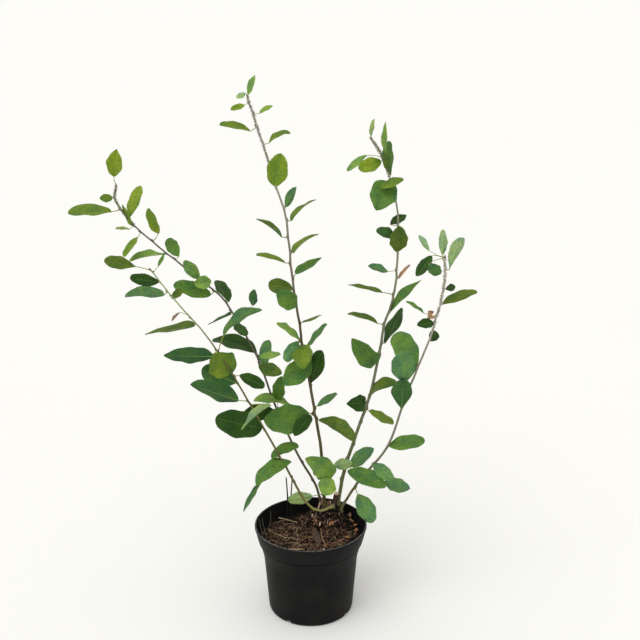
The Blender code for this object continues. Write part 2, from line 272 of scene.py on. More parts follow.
def lumps(centres: np.ndarray, sizes: np.ndarray, turns: np.ndarray, roughness: float,
          chance: Chance) -> Shape:
    """Many rough lumps at once: balls with uneven points, stretched and turned.

    Args:
        centres: A centre for each lump.
        sizes: Three half sizes for each lump.
        turns: Yaw, pitch and roll in radians for each lump.
        roughness: How far a point may lie off the ball, as a share of its radius.
        chance: The source of the unevenness.

    Returns:
        All the lumps as one shape.
    """
    polar = math.pi * (np.arange(LUMP_RINGS) + 1.0) / (LUMP_RINGS + 1.0)
    around = round_angles(LUMP_SIDES)
    ring = np.stack((np.outer(np.sin(polar), np.cos(around)),
                     np.outer(np.sin(polar), np.sin(around)),
                     np.outer(-np.cos(polar), np.ones(LUMP_SIDES))), axis=-1).reshape(-1, 3)
    ball = np.vstack((ring, (0.0, 0.0, -1.0), (0.0, 0.0, 1.0)))
    uneven = 1.0 + roughness * chance.uniform(-1.0, 1.0, (len(centres), len(ball), 1))
    placed = ball * uneven * sizes[:, None]
    yaw, pitch, roll = turns.T
    cy, sy, cp, sp, cr, sr = (f(a) for a in (yaw, pitch, roll) for f in (np.cos, np.sin))
    matrix = np.stack((cy * cp, cy * sp * sr - sy * cr, cy * sp * cr + sy * sr,
                       sy * cp, sy * sp * sr + cy * cr, sy * sp * cr - cy * sr,
                       -sp, cp * sr, cp * cr), axis=-1).reshape(-1, 3, 3)
    placed = np.einsum("nij,nmj->nmi", matrix, placed) + centres[:, None]
    step = (np.arange(len(centres)) * len(ball))[:, None, None]
    quads = (grid_quads(LUMP_RINGS, LUMP_SIDES, closed=True)[None] + step).reshape(-1, 4)
    fans = (pole_fans(LUMP_RINGS, LUMP_SIDES)[None] + step).reshape(-1, 3)
    return Shape(placed.reshape(-1, 3), quads, fans)


def lump_faces(kind: np.ndarray) -> np.ndarray:
    """A finish number for every face of lumps, from one number for each lump."""
    return np.concatenate((np.repeat(kind, (LUMP_RINGS - 1) * LUMP_SIDES),
                           np.repeat(kind, 2 * LUMP_SIDES)))


# Finishes

BLACK = (0.0, 0.0, 0.0)
WHITE = (1.0, 1.0, 1.0)
EVEN = (1.0, 1.0, 1.0)


def shade(colour: Triple, factor: float) -> Triple:
    """A colour made lighter or darker by a factor."""
    return tuple(min(1.0, channel * factor) for channel in colour)


class Recipe:
    """A node material being put together on one Principled shader."""

    # Where a Mix node has its colours, after its numbers and vectors
    FIRST_COLOUR = 6
    SECOND_COLOUR = 7
    MIXED_COLOUR = 2

    def __init__(self, name: str, roughness: float, specular: float) -> None:
        """Start a material with its own shader.

        Args:
            name: The material's name.
            roughness: The shader's roughness.
            specular: The shader's specular level.
        """
        self.material = bpy.data.materials.new(name)
        self.material.use_nodes = True
        self.tree = self.material.node_tree
        self.shader = self.tree.nodes["Principled BSDF"]
        self.shader.inputs["Roughness"].default_value = roughness
        self.shader.inputs["Specular IOR Level"].default_value = specular

    def node(self, kind: str, **values: object) -> bpy.types.Node:
        """A new node.

        Args:
            kind: The node's type.
            values: Values for the inputs of these names, or else for properties.

        Returns:
            The node.
        """
        made = self.tree.nodes.new(kind)
        for key, value in values.items():
            title = key.replace("_", " ").title()
            if title in made.inputs:
                made.inputs[title].default_value = value
            else:
                setattr(made, key, value)
        return made

    def link(self, output: Socket, target: Socket) -> None:
        """Join an output to an input."""
        self.tree.links.new(output, target)

    def place(self, scale: Triple = EVEN) -> Socket:
        """Object coordinates, stretched by a scale along each axis.

        Args:
            scale: The stretch along X, Y and Z.

        Returns:
            The stretched coordinates.
        """
        coordinates = self.node("ShaderNodeTexCoord")
        mapping = self.node("ShaderNodeMapping", scale=scale)
        self.link(coordinates.outputs["Object"], mapping.inputs["Vector"])
        return mapping.outputs["Vector"]

    def noise(self, size: float, detail: float = 3.0, stretch: Triple = EVEN) -> Socket:
        """Soft noise.

        Args:
            size: About how large its patches are, in millimetres.
            detail: How many finer layers lie over them.
            stretch: The stretch of its coordinates.

        Returns:
            A factor from 0 to 1, mostly near the middle.
        """
        texture = self.node("ShaderNodeTexNoise", scale=1.0 / (size * MM), detail=detail)
        self.link(self.place(stretch), texture.inputs["Vector"])
        return texture.outputs["Fac"]

    def cells(self, size: float, stretch: Triple) -> Socket:
        """A pattern of cells.

        Args:
            size: About how large a cell is, in millimetres.
            stretch: The stretch of its coordinates.

        Returns:
            The distance from the middle of the cell.
        """
        texture = self.node("ShaderNodeTexVoronoi", scale=1.0 / (size * MM))
        self.link(self.place(stretch), texture.inputs["Vector"])
        return texture.outputs["Distance"]

    def ramp(self, factor: Socket, stops: list[tuple[float, Triple]]) -> Socket:
        """Colours that run from stop to stop.

        Args:
            factor: The factor that picks the colour.
            stops: A place and a colour for each stop.

        Returns:
            The colour.
        """
        made = self.node("ShaderNodeValToRGB")
        elements = made.color_ramp.elements
        while len(elements) < len(stops):
            elements.new(1.0)
        for element, (position, colour) in zip(elements, stops):
            element.position = position
            element.color = (*colour, 1.0)
        self.link(factor, made.inputs["Fac"])
        return made.outputs["Color"]

    def toned(self, factor: Socket, colour: Triple, contrast: float, stops: Pair = (0.3, 0.7)
              ) -> Socket:
        """A colour that runs from darker to lighter between two stops of a factor."""
        dark, light = shade(colour, 1.0 - contrast), shade(colour, 1.0 + contrast)
        return self.ramp(factor, list(zip(stops, (dark, light))))

    def mask(self, factor: Socket, off: float, on: float) -> Socket:
        """A share that goes from none at one stop of a factor to all at another."""
        return self.ramp(factor, sorted(((off, BLACK), (on, WHITE))))

    def blend(self, factor: Socket, first: Socket, second: Socket | Triple) -> Socket:
        """A mix of two colours.

        Args:
            factor: The share of the second.
            first: The first colour.
            second: The second colour, worked out by nodes or plain.

        Returns:
            The mixed colour.
        """
        made = self.node("ShaderNodeMix", data_type="RGBA")
        self.link(factor, made.inputs["Factor"])
        self.link(first, made.inputs[self.FIRST_COLOUR])
        if isinstance(second, tuple):
            made.inputs[self.SECOND_COLOUR].default_value = (*second, 1.0)
        else:
            self.link(second, made.inputs[self.SECOND_COLOUR])
        return made.outputs[self.MIXED_COLOUR]

    def span(self, value: Socket, before: Pair = (0.0, 1.0), after: Pair = (0.0, 1.0)) -> Socket:
        """A value carried from one range to another, and kept within it.

        Args:
            value: The value.
            before: The range that it comes from.
            after: The range that it is carried to.

        Returns:
            The carried value.
        """
        made = self.node("ShaderNodeMapRange", from_min=before[0], from_max=before[1],
                         to_min=after[0], to_max=after[1])
        self.link(value, made.inputs["Value"])
        return made.outputs["Result"]

    def by_height(self, low: float, high: float) -> Socket:
        """A factor that rises from 0 to 1 with the height.

        Args:
            low: The height in millimetres where it is 0.
            high: The height in millimetres where it is 1.

        Returns:
            The factor.
        """
        split = self.node("ShaderNodeSeparateXYZ")
        self.link(self.place(), split.inputs["Vector"])
        return self.span(split.outputs["Z"], (low * MM, high * MM))

    def paint(self, colour: Socket) -> None:
        """Give the shader its colour."""
        self.link(colour, self.shader.inputs["Base Color"])

    def rough(self, factor: Socket, low: float, high: float) -> None:
        """Roughness that varies with a factor between two values."""
        self.link(self.span(factor, after=(low, high)), self.shader.inputs["Roughness"])

    def bump(self, height: Socket, strength: float, distance: float) -> None:
        """Relief on the shader.

        Args:
            height: The height that it follows.
            strength: How strongly it shows.
            distance: How deep it is, in millimetres.
        """
        made = self.node("ShaderNodeBump", strength=strength, distance=distance * MM)
        self.link(height, made.inputs["Height"])
        self.link(made.outputs["Normal"], self.shader.inputs["Normal"])


@dataclass(frozen=True)
class Finish:
    """A soft natural finish: one colour in lighter and darker patches, with fine relief."""

    name: str
    colour: Triple
    roughness: float = 0.6
    specular: float = 0.3
    contrast: float = 0.12
    patch: float = 14.0
    grain: float = 0.7
    relief: float = 0.15
    relief_depth: float = 0.3
    stretch: Triple = EVEN

    def material(self) -> bpy.types.Material:
        """The finish as a material, made once."""
        made = bpy.data.materials.get(self.name)
        return made if made is not None else self.make()

    def start(self) -> Recipe:
        """A recipe with this finish's name and gloss."""
        return Recipe(self.name, self.roughness, self.specular)

    def make(self) -> bpy.types.Material:
        """Patches on the base colour, and a grain as bump.

        Returns:
            The material.
        """
        recipe = self.start()
        patches = recipe.noise(self.patch, stretch=self.stretch)
        recipe.paint(recipe.toned(patches, self.colour, self.contrast))
        grain = recipe.noise(self.grain, stretch=self.stretch)
        recipe.bump(grain, self.relief, self.relief_depth)
        return recipe.material


@dataclass(frozen=True)
class PlasticFinish(Finish):
    """Matt moulded plastic: mould grain, dusty patches, painted shade under the ledge, and a rim with
    scuff marks and a painted highlight.
    """

    relief_depth: float = 0.2
    dust: Triple = (0.0120, 0.0110, 0.0095)
    dust_stops: Pair = (0.40, 0.80)
    # Painted shade: a near-black band just under the ledge, where the ledge's shadow falls
    ledge_shade: Triple = (0.0015, 0.0015, 0.0016)
    ledge_shade_heights: Pair = (109.5, 112.6)
    ledge_shade_peak: float = 0.75
    # Painted highlight, partly wear: the rim's top is lighter, broken up by scuff noise
    rim: Triple = (0.115, 0.117, 0.120)
    rim_heights: Pair = (138.7, 139.9)
    highlight_scuff_size: float = 6.0
    highlight_scuff_stops: Pair = (0.35, 0.70)
    highlight_scuff_shade: float = 0.3
    wear_size: float = 9.0
    wear_gloss: Pair = (-0.08, 0.10)

    def make(self) -> bpy.types.Material:
        """Dust by noise, and by height painted shade under the ledge and a painted highlight with wear
        on the rim, over the near-black base.

        Returns:
            The material.
        """
        recipe = self.start()
        dusty = recipe.noise(self.patch, detail=5.0)
        body = recipe.ramp(dusty, list(zip(self.dust_stops, (self.colour, self.dust))))
        # Painted shade under the ledge, strongest between its two heights
        shade_under_ledge = recipe.ramp(recipe.by_height(*self.ledge_shade_heights),
                                  [(0.0, BLACK), (self.ledge_shade_peak, WHITE), (1.0, BLACK)])
        body = recipe.blend(shade_under_ledge, body, self.ledge_shade)
        # Painted highlight with wear: a lighter colour on the rim, in patches of scuff noise
        highlight_scuff_noise = recipe.noise(self.highlight_scuff_size, detail=6.0)
        highlight_and_wear = (shade(self.rim, self.highlight_scuff_shade), self.rim)
        rim_highlight_and_scuffs = recipe.ramp(highlight_scuff_noise, list(zip(self.highlight_scuff_stops, highlight_and_wear)))
        recipe.paint(recipe.blend(recipe.by_height(*self.rim_heights), body, rim_highlight_and_scuffs))
        smoother, rougher = self.wear_gloss
        recipe.rough(recipe.noise(self.wear_size, detail=6.0), self.roughness + smoother,
                     self.roughness + rougher)
        recipe.bump(recipe.noise(self.grain, detail=2.0), self.relief, self.relief_depth)
        return recipe.material


@dataclass(frozen=True)
class BarkFinish(Finish):
    """Young bark in three colours going up: long streaks, pale pores, dark scales near the tip.

    The first two heights in millimetres are where the first colour gives way to the
    middle one, and the last two where that gives way to the top one.
    """

    roughness: float = 0.68
    relief: float = 0.5
    relief_depth: float = 0.25
    middle: Triple = (0.120, 0.100, 0.065)
    top: Triple = (0.200, 0.190, 0.130)
    heights: tuple[float, float, float, float] = (150.0, 260.0, 380.0, 560.0)
    streak_size: float = 1.6
    streak_stretch: Triple = (1.0, 1.0, 0.16)
    streak_contrast: float = 0.32
    pore_size: float = 3.2
    pore_stretch: Triple = (1.0, 1.0, 0.7)
    pore_edge: Pair = (0.17, 0.10)
    pore_lift: float = 2.0
    scale_size: float = 2.1
    scale_stretch: Triple = (1.0, 1.0, 1.3)
    scale_stops: Pair = (0.26, 0.36)
    scale_shades: Pair = (0.16, 1.15)
    scales_from: float = 0.4

    def make(self) -> bpy.types.Material:
        """Three streaked colours by height, then pores and scales from cell patterns.

        Returns:
            The material.
        """
        recipe = self.start()
        streaks = recipe.noise(self.streak_size, detail=5.0, stretch=self.streak_stretch)
        low, middle, top = (recipe.toned(streaks, colour, self.streak_contrast)
                            for colour in (self.colour, self.middle, self.top))
        toward_tip = recipe.by_height(*self.heights[2:])
        bark = recipe.blend(recipe.by_height(*self.heights[:2]), low, middle)
        bark = recipe.blend(toward_tip, bark, top)
        pores = recipe.mask(recipe.cells(self.pore_size, self.pore_stretch), *self.pore_edge)
        bark = recipe.blend(pores, bark, shade(self.middle, self.pore_lift))
        scales = recipe.ramp(recipe.cells(self.scale_size, self.scale_stretch),
                             [(stop, shade(self.top, factor))
                              for stop, factor in zip(self.scale_stops, self.scale_shades)])
        scaly = recipe.mask(toward_tip, self.scales_from, 1.0)
        recipe.paint(recipe.blend(scaly, bark, scales))
        recipe.bump(streaks, self.relief, self.relief_depth)
        return recipe.material


@dataclass(frozen=True)
class LeafFinish(Finish):
    """A leaf's satin finish: its colour drifts between a bluer, darker and a yellower one."""

    drift: float = 0.20
    drift_stops: Pair = (0.34, 0.66)
    mottle: float = 0.20
    mottle_size: float = 2.4
    mottle_stops: Pair = (0.38, 0.62)
    sheen: Pair = (-0.06, 0.08)

    def hue(self, side: float) -> Triple:
        """The colour moved toward yellow, mostly by more red and less blue.

        Args:
            side: 1 for the yellow side and -1 for the blue side.

        Returns:
            The moved colour.
        """
        red, green, blue = self.colour
        moved = self.drift * side
        return (red * (1.0 + 1.5 * moved), green * (1.0 + 0.8 * moved), blue * (1.0 - 0.5 * moved))

    def make(self) -> bpy.types.Material:
        """A slow drift of hue, mottled finely, with a grain as bump.

        Returns:
            The material.
        """
        recipe = self.start()
        slow = recipe.noise(self.patch, detail=2.0)
        fine = recipe.noise(self.mottle_size, detail=5.0)
        dark, light = (recipe.ramp(slow, [(stop, shade(self.hue(side), factor))
                                          for stop, side in zip(self.drift_stops, (-1.0, 1.0))])
                       for factor in (1.0 - self.mottle, 1.0 + self.mottle))
        recipe.paint(recipe.blend(recipe.mask(fine, *self.mottle_stops), dark, light))
        smoother, rougher = self.sheen
        recipe.rough(fine, self.roughness + smoother, self.roughness + rougher)
        recipe.bump(recipe.noise(self.grain), self.relief, self.relief_depth)
        return recipe.material


class Form(Enum):
    """A blade's outline: where it is widest, and how pointed its base and its tip are."""

    OVAL = (0.50, 0.70, 0.58)
    OBLONG = (0.52, 0.55, 0.46)
    OBOVATE = (0.62, 0.85, 0.48)
    OVATE = (0.42, 0.60, 0.72)
    POINTED = (0.48, 0.75, 0.95)
    LANCE = (0.36, 0.62, 0.95)

    def __init__(self, widest: float, base: float, tip: float) -> None:
        """Keep the outline's numbers.

        Args:
            widest: The share of the length at the widest place.
            base: The exponent at the base, blunter if it is smaller.
            tip: The exponent at the tip, likewise.
        """
        self.widest = widest
        self.base = base
        self.tip = tip


class Tone(Enum):
    """The colour that a leaf shows, and whether it shows its underside."""

    YELLOW = ("yellow", False)
    LIGHT = ("light", False)
    GOLDEN = ("golden", False)
    MID = ("mid", False)
    DARK = ("dark", False)
    OLIVE = ("olive", False)
    BLUISH = ("mid", True)
    SHADED = ("dark", True)
    PALE = ("light", True)
    BROWN = ("brown", False)

    def __init__(self, colour: str, underside: bool) -> None:
        """Keep the colour's name and which side shows."""
        self.colour = colour
        self.underside = underside


def leaf_finish(name: str, colour: Triple, roughness: float = 0.52) -> LeafFinish:
    """A leaf's finish in one of the plant's base colours."""
    return LeafFinish(name, colour, roughness=roughness, specular=0.18, patch=18.0, grain=0.9,
                      relief=0.25)


UPPER = {
    "yellow": leaf_finish("leaf_yellow_green", (0.148, 0.232, 0.014)),
    "light": leaf_finish("leaf_light_green", (0.158, 0.278, 0.054)),
    "golden": leaf_finish("leaf_yellow_olive", (0.104, 0.174, 0.015)),
    "mid": leaf_finish("leaf_mid_green", (0.073, 0.163, 0.026)),
    "dark": leaf_finish("leaf_dark_green", (0.017, 0.057, 0.003)),
    "olive": leaf_finish("leaf_olive_green", (0.07, 0.12, 0.011)),
    "brown": leaf_finish("leaf_dead_brown", (0.27, 0.15, 0.095), 0.75),
}
UNDER = {
    "yellow": leaf_finish("under_yellow_green", (0.18, 0.26, 0.05), 0.65),
    "light": leaf_finish("under_pale_green", (0.258, 0.375, 0.155), 0.65),
    "golden": leaf_finish("under_yellow_olive", (0.15, 0.215, 0.06), 0.65),
    "mid": leaf_finish("under_bluish_green", (0.092, 0.205, 0.066), 0.65),
    "dark": leaf_finish("under_deep_green", (0.034, 0.1, 0.024), 0.65),
    "olive": leaf_finish("under_olive_green", (0.09, 0.15, 0.045), 0.65),
    "brown": leaf_finish("under_dead_brown", (0.37, 0.23, 0.155), 0.75),
}
RIB = Finish("leaf_rib", (0.17, 0.27, 0.06), specular=0.16, contrast=0.1)
LEAF_STALK = Finish("leaf_stalk", (0.21, 0.25, 0.04), specular=0.2, contrast=0.2, patch=4.0)
BUD = Finish("bud_scales", (0.12, 0.075, 0.045), contrast=0.3, patch=1.2)
BARK_FRONT_LEFT = BarkFinish(
    "bark_olive_yellow", (0.24, 0.225, 0.08), middle=(0.11, 0.105, 0.034), top=(0.23, 0.3, 0.12),
    heights=(150.0, 200.0, 420.0, 490.0))
BARK_BACK_LEFT = BarkFinish(
    "bark_grey_brown", (0.1, 0.085, 0.045), middle=(0.098, 0.088, 0.056), top=(0.24, 0.27, 0.14),
    heights=(150.0, 260.0, 585.0, 630.0))
BARK_CENTRE = BarkFinish(
    "bark_dark_olive", (0.08, 0.072, 0.02), middle=(0.085, 0.063, 0.034), top=(0.27, 0.255, 0.2),
    heights=(280.0, 380.0, 450.0, 690.0))
BARK_BACK_RIGHT = BarkFinish(
    "bark_olive_grey", (0.115, 0.125, 0.045), middle=(0.14, 0.15, 0.085), top=(0.24, 0.24, 0.15),
    heights=(240.0, 330.0, 430.0, 600.0))
BARK_FRONT_RIGHT = BarkFinish(
    "bark_pale_grey", (0.11, 0.11, 0.045), middle=(0.18, 0.175, 0.125), top=(0.4, 0.38, 0.3),
    heights=(190.0, 280.0, 400.0, 500.0))
POT_PLASTIC = PlasticFinish(
    "moulded_plastic", (0.0056, 0.0057, 0.0062), roughness=0.52, specular=0.08, patch=38.0,
    grain=0.5, relief=0.12)
MIX_DARK = Finish(
    "mix_dark", (0.011, 0.008, 0.006), roughness=0.95, specular=0.08, contrast=0.55, patch=5.0,
    grain=1.0, relief=0.6)
MIX_BROWN = Finish(
    "mix_brown", (0.098, 0.064, 0.042), roughness=0.95, specular=0.1, contrast=0.45, patch=3.0,
    grain=0.8, relief=0.5)
MIX_RED = Finish(
    "mix_red_brown", (0.185, 0.1, 0.068), roughness=0.9, specular=0.12, contrast=0.35, patch=3.0,
    grain=0.8, relief=0.5)
CHIP_WET = Finish(
    "chip_wet_bark", (0.07, 0.041, 0.029), roughness=0.7, specular=0.2, contrast=0.5, patch=2.5,
    grain=0.8, relief=0.8, stretch=(1.0, 0.3, 1.0))
CHIP_ORANGE = Finish(
    "chip_orange", (0.27, 0.12, 0.045), roughness=0.8, specular=0.15, contrast=0.4, patch=3.0,
    relief=0.5, stretch=(1.0, 0.3, 1.0))
CHIP_PALE = Finish(
    "chip_pale_wood", (0.43, 0.31, 0.235), roughness=0.85, specular=0.15, contrast=0.25, patch=3.0,
    relief=0.4, stretch=(1.0, 0.3, 1.0))
STRAW = Finish("straw", (0.43, 0.33, 0.18), roughness=0.7, specular=0.2, contrast=0.3, patch=4.0)
ROOT_FIBRE = Finish(
    "root_fibre", (0.18, 0.11, 0.062), roughness=0.8, specular=0.15, contrast=0.3, patch=4.0)
RED_FIBRE = Finish(
    "red_fibre", (0.15, 0.06, 0.036), roughness=0.8, specular=0.15, contrast=0.3, patch=4.0)
STUMP_BARK = Finish(
    "stump_bark", (0.07, 0.046, 0.034), roughness=0.85, specular=0.15, contrast=0.4, patch=3.0,
    relief=0.6)
CUT_WOOD = Finish(
    "cut_wood", (0.62, 0.5, 0.32), roughness=0.85, specular=0.15, contrast=0.2, patch=2.0)
DOWN = Finish(
    "shoot_down", (0.3, 0.29, 0.245), roughness=0.9, specular=0.1, contrast=0.2, patch=5.0)
# Near-black: the dead stalks, and painted shade where the mix deals its fibres into the shade
DEAD_STALK_AND_SHADE = Finish("dead_stalk_and_shade", (0.012, 0.011, 0.01), roughness=0.8, specular=0.1)
DEAD_WIRE = Finish(
    "dead_wiry_stalk", (0.15, 0.145, 0.125), roughness=0.8, specular=0.1, contrast=0.3, patch=5.0)


def new_object(name: str, data: bpy.types.ID) -> bpy.types.Object:
    """A new object in the scene, at the origin.

    Args:
        name: The object's name.
        data: What it holds, such as a mesh.

    Returns:
        The object.
    """
    made = bpy.data.objects.new(name, data)
    bpy.context.scene.collection.objects.link(made)
    return made


@dataclass
class Piece:
    """Shapes gathered for one object, each with its finish."""

    name: str
    finishes: list[Finish]
    shapes: list[tuple[Shape, np.ndarray, np.ndarray]] = field(default_factory=list)

    def add(self, shape: Shape, finish: Finish | np.ndarray) -> None:
        """Gather a shape.

        Args:
            shape: The shape, in millimetres.
            finish: Its finish, or a finish number for each four-sided face and then
                for each triangle.
        """
        faces = len(shape.quads) + len(shape.triangles)
        if isinstance(finish, Finish):
            finish = np.full(faces, self.finishes.index(finish))
        self.shapes.append((shape, finish[:len(shape.quads)], finish[len(shape.quads):]))

    def build(self, slot: str, replaces: tuple[str, ...] = (), sharp: float | None = None
              ) -> bpy.types.Object:
        """The gathered shapes as one object that rides on the plant.

        Args:
            slot: The record's material slot; not used.
            replaces: The solids that the object stands for.
            sharp: The angle in degrees above which edges stay sharp, or None for flat
                faces.

        Returns:
            The object, at the origin.
        """
        shapes = [shape for shape, _, _ in self.shapes]
        starts = np.cumsum([0] + [len(shape.points) for shape in shapes])
        points = np.vstack([shape.points for shape in shapes]) * MM
        quads = np.vstack([shape.quads + start for shape, start in zip(shapes, starts)])
        fans = np.vstack([shape.triangles + start for shape, start in zip(shapes, starts)])
        mesh = bpy.data.meshes.new(self.name)
        mesh.vertices.add(len(points))
        mesh.vertices.foreach_set("co", points.astype(np.float32).ravel())
        mesh.loops.add(quads.size + fans.size)
        mesh.loops.foreach_set("vertex_index", np.concatenate((quads.ravel(), fans.ravel())))
        mesh.polygons.add(len(quads) + len(fans))
        mesh.polygons.foreach_set("loop_start", np.concatenate(
            (np.arange(len(quads)) * 4, quads.size + np.arange(len(fans)) * 3)))
        mesh.polygons.foreach_set("material_index", np.concatenate(
            [numbers for _, numbers, _ in self.shapes] + [numbers for _, _, numbers in self.shapes]))
        mesh.update(calc_edges=True)
        mesh.validate()
        if sharp is not None:
            mesh.shade_smooth()
            mesh.set_sharp_from_angle(angle=math.radians(sharp))
        for finish in self.finishes:
            mesh.materials.append(finish.material())
        piece = new_object(self.name, mesh)
        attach(piece, "root")
        if replaces:
            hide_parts(*replaces)
        LOG.info("%s: %d faces", self.name, len(mesh.polygons))
        return piece


# The pot

@dataclass
class NurseryPot:
    """A thin moulded pot: rounded foot, taper, flared shoulder, ledge, band, rolled rim."""

    rim_radius: float = 85.0
    rim_height: float = 140.0
    bead_height: float = 4.0
    bead_thickness: float = 2.4
    wall: float = 1.2
    floor: float = 1.5
    base_radius: float = 61.2
    base_edge: float = 3.0
    corner_height: float = 8.0
    body_foot_radius: float = 65.0
    body_top_height: float = 86.0
    body_top_radius: float = 71.2
    ledge_height: float = 112.5
    ledge_radius: float = 77.8
    ledge_margin: float = 3.0
    shoulder_flare: float = 1.3
    band_foot_height: float = 114.0
    band_foot_radius: float = 79.2
    band_top_radius: float = 84.3
    band_flare: float = 0.85
    groove_depth: float = 0.7
    groove_drop: float = 0.6
    groove_width: float = 0.9
    recess_radius: float = 50.0
    recess_depth: float = 0.7
    recess_edge: float = 0.6
    drain_angles: tuple[float, ...] = (238.0, 328.0, 58.0, 148.0)
    drain_radius: float = 6.0
    drain_reach: Pair = (54.0, 74.0)
    drain_sides: int = 28
    lip_depth: float = 5.5
    nub_angle: float = 272.0
    nub_size: float = 0.55
    nub_width: float = 1.3
    out_of_round: float = 0.35
    segments: int = 180
    sharp: float = 38.0

    @property
    def band_top(self) -> float:
        """The height where the band meets the rim's bead."""
        return self.rim_height - self.bead_height

    def outer_radius(self, height: np.ndarray) -> np.ndarray:
        """The outer radius at a height.

        A quarter ellipse at the foot, a cone, a shoulder that widens by a power of its
        share, an undercut groove and a smooth step out at the ledge, and a flared band.

        Args:
            height: The heights.

        Returns:
            One radius a height.
        """
        height = np.asarray(height, dtype=float)
        corner = 1.0 - share_between(height, 0.0, self.corner_height)
        foot = self.body_foot_radius - (self.body_foot_radius - self.base_radius) * (
            1.0 - np.sqrt(1.0 - corner ** 2))
        cone = share_between(height, self.corner_height, self.body_top_height)
        flare = share_between(height, self.body_top_height, self.ledge_height) ** self.shoulder_flare
        body = (foot + (self.body_top_radius - self.body_foot_radius) * cone
                + (self.ledge_radius - self.body_top_radius) * flare)
        rise = share_between(height, self.band_foot_height, self.band_top) ** self.band_flare
        band = self.band_foot_radius + (self.band_top_radius - self.band_foot_radius) * rise
        step = share_between(height, self.ledge_height, self.band_foot_height)
        step = step * step * (3.0 - 2.0 * step)
        below_ledge = self.ledge_height - self.groove_drop
        groove = self.groove_depth * np.exp(-((height - below_ledge) / self.groove_width) ** 2)
        return body + (band - body) * step - groove

    def inner_radius(self, height: np.ndarray) -> np.ndarray:
        """The inner radius at a height, a wall's thickness inside the outer one."""
        return self.outer_radius(height) - self.wall

    @staticmethod
    def levels(marks: tuple[float, ...], steps: tuple[int, ...]) -> np.ndarray:
        """Heights from mark to mark in even steps, without the first mark.

        Args:
            marks: The heights to pass.
            steps: The number of steps for each span.

        Returns:
            The heights.
        """
        return np.concatenate([np.linspace(low, high, count + 1)[1:]
                               for low, high, count in zip(marks, marks[1:], steps)])

    def profile(self) -> tuple[np.ndarray, np.ndarray]:
        """The closed wall's profile from the middle of the underside round to the floor.

        Returns:
            The radii and the heights.
        """
        base_flat = self.base_radius - self.base_edge
        below_ledge = self.ledge_height - self.ledge_margin
        under = ((6.0, self.recess_depth), (30.0, self.recess_depth),
                 (self.recess_radius - self.recess_edge, self.recess_depth),
                 (self.recess_radius, 0.0), (base_flat, 0.0))
        corner = self.corner_height * (1.0 - np.cos(np.linspace(0.0, 0.5 * math.pi, 9)))
        climb = self.levels((self.corner_height, self.body_top_height, below_ledge,
                             self.ledge_height + 0.4, self.band_foot_height + 0.2, self.band_top),
                            (12, 10, 10, 7, 12))
        outside = np.concatenate((corner, climb))
        lip = ((self.rim_radius, self.band_top + 0.3), (self.rim_radius, self.band_top + 1.2))
        half = 0.5 * self.bead_thickness
        turn = np.linspace(0.0, math.pi, 11)
        bead = np.stack((self.rim_radius - half + half * np.cos(turn),
                         self.rim_height - half + half * np.sin(turn)), axis=-1)
        bead_foot = (self.rim_radius - self.bead_thickness, self.band_top + 0.8)
        descent = self.levels((self.band_top, self.band_foot_height, below_ledge,
                               self.body_top_height, self.corner_height), (7, 4, 6, 9))
        inside = np.concatenate(([self.band_top], descent, (5.0, self.floor + 0.8)))
        floor = ((base_flat, self.floor), (30.0, self.floor), (5.0, self.floor))
        points = np.vstack((under, np.stack((self.outer_radius(outside), outside), axis=-1), lip,
                            bead, bead_foot,
                            np.stack((self.inner_radius(inside), inside), axis=-1), floor))
        return points[:, 0], points[:, 1]

    def build(self) -> None:
        """The pot, slightly out of round, with a nub on its lip and its drain notches."""
        radius, height = self.profile()
        angle = round_angles(self.segments)
        high = np.clip(height / self.rim_height, 0.0, 1.0)[:, None] ** 3
        uneven = np.sin(2.0 * angle + 0.6) + 0.5 * np.sin(3.0 * angle + 2.0)
        on_lip = (height > self.rim_height - self.lip_depth) & (radius > self.rim_radius - 1.0)
        off_nub = (np.degrees(angle) - self.nub_angle + 180.0) % 360.0 - 180.0
        nub = self.nub_size * on_lip[:, None] * np.exp(-(off_nub / self.nub_width) ** 2)
        radii = radius[:, None] + self.out_of_round * high * uneven + nub
        piece = Piece("nursery_pot", [POT_PLASTIC])
        piece.add(turned(radii, height, self.segments), POT_PLASTIC)
        self.cut_drains(piece.build("pot_plastic", ("pot",), sharp=self.sharp))

    def cut_drains(self, pot: bpy.types.Object) -> None:
        """Cut a half-round notch at each drain angle through the wall and the floor's edge.

        Args:
            pot: The pot to cut.
        """
        cutters = Piece("drain_cutters", [POT_PLASTIC])
        for angle in np.radians(self.drain_angles):
            outward = np.array((math.cos(angle), math.sin(angle), 0.0))
            line = outward * np.linspace(*self.drain_reach, 3)[:, None]
            radii = np.full(3, self.drain_radius)
            cutters.add(tube(line, radii, self.drain_sides, UP), POT_PLASTIC)
        cutter = cutters.build("pot_plastic")
        cut = pot.modifiers.new("drains", "BOOLEAN")
        cut.operation = "DIFFERENCE"
        cut.object = cutter
        graph = bpy.context.evaluated_depsgraph_get()
        finished = bpy.data.meshes.new_from_object(pot.evaluated_get(graph))
        pot.modifiers.clear()
        pot.data = finished
        finished.shade_smooth()
        finished.set_sharp_from_angle(angle=math.radians(self.sharp))
        bpy.data.objects.remove(cutter)


# The potting mix and what lies on it

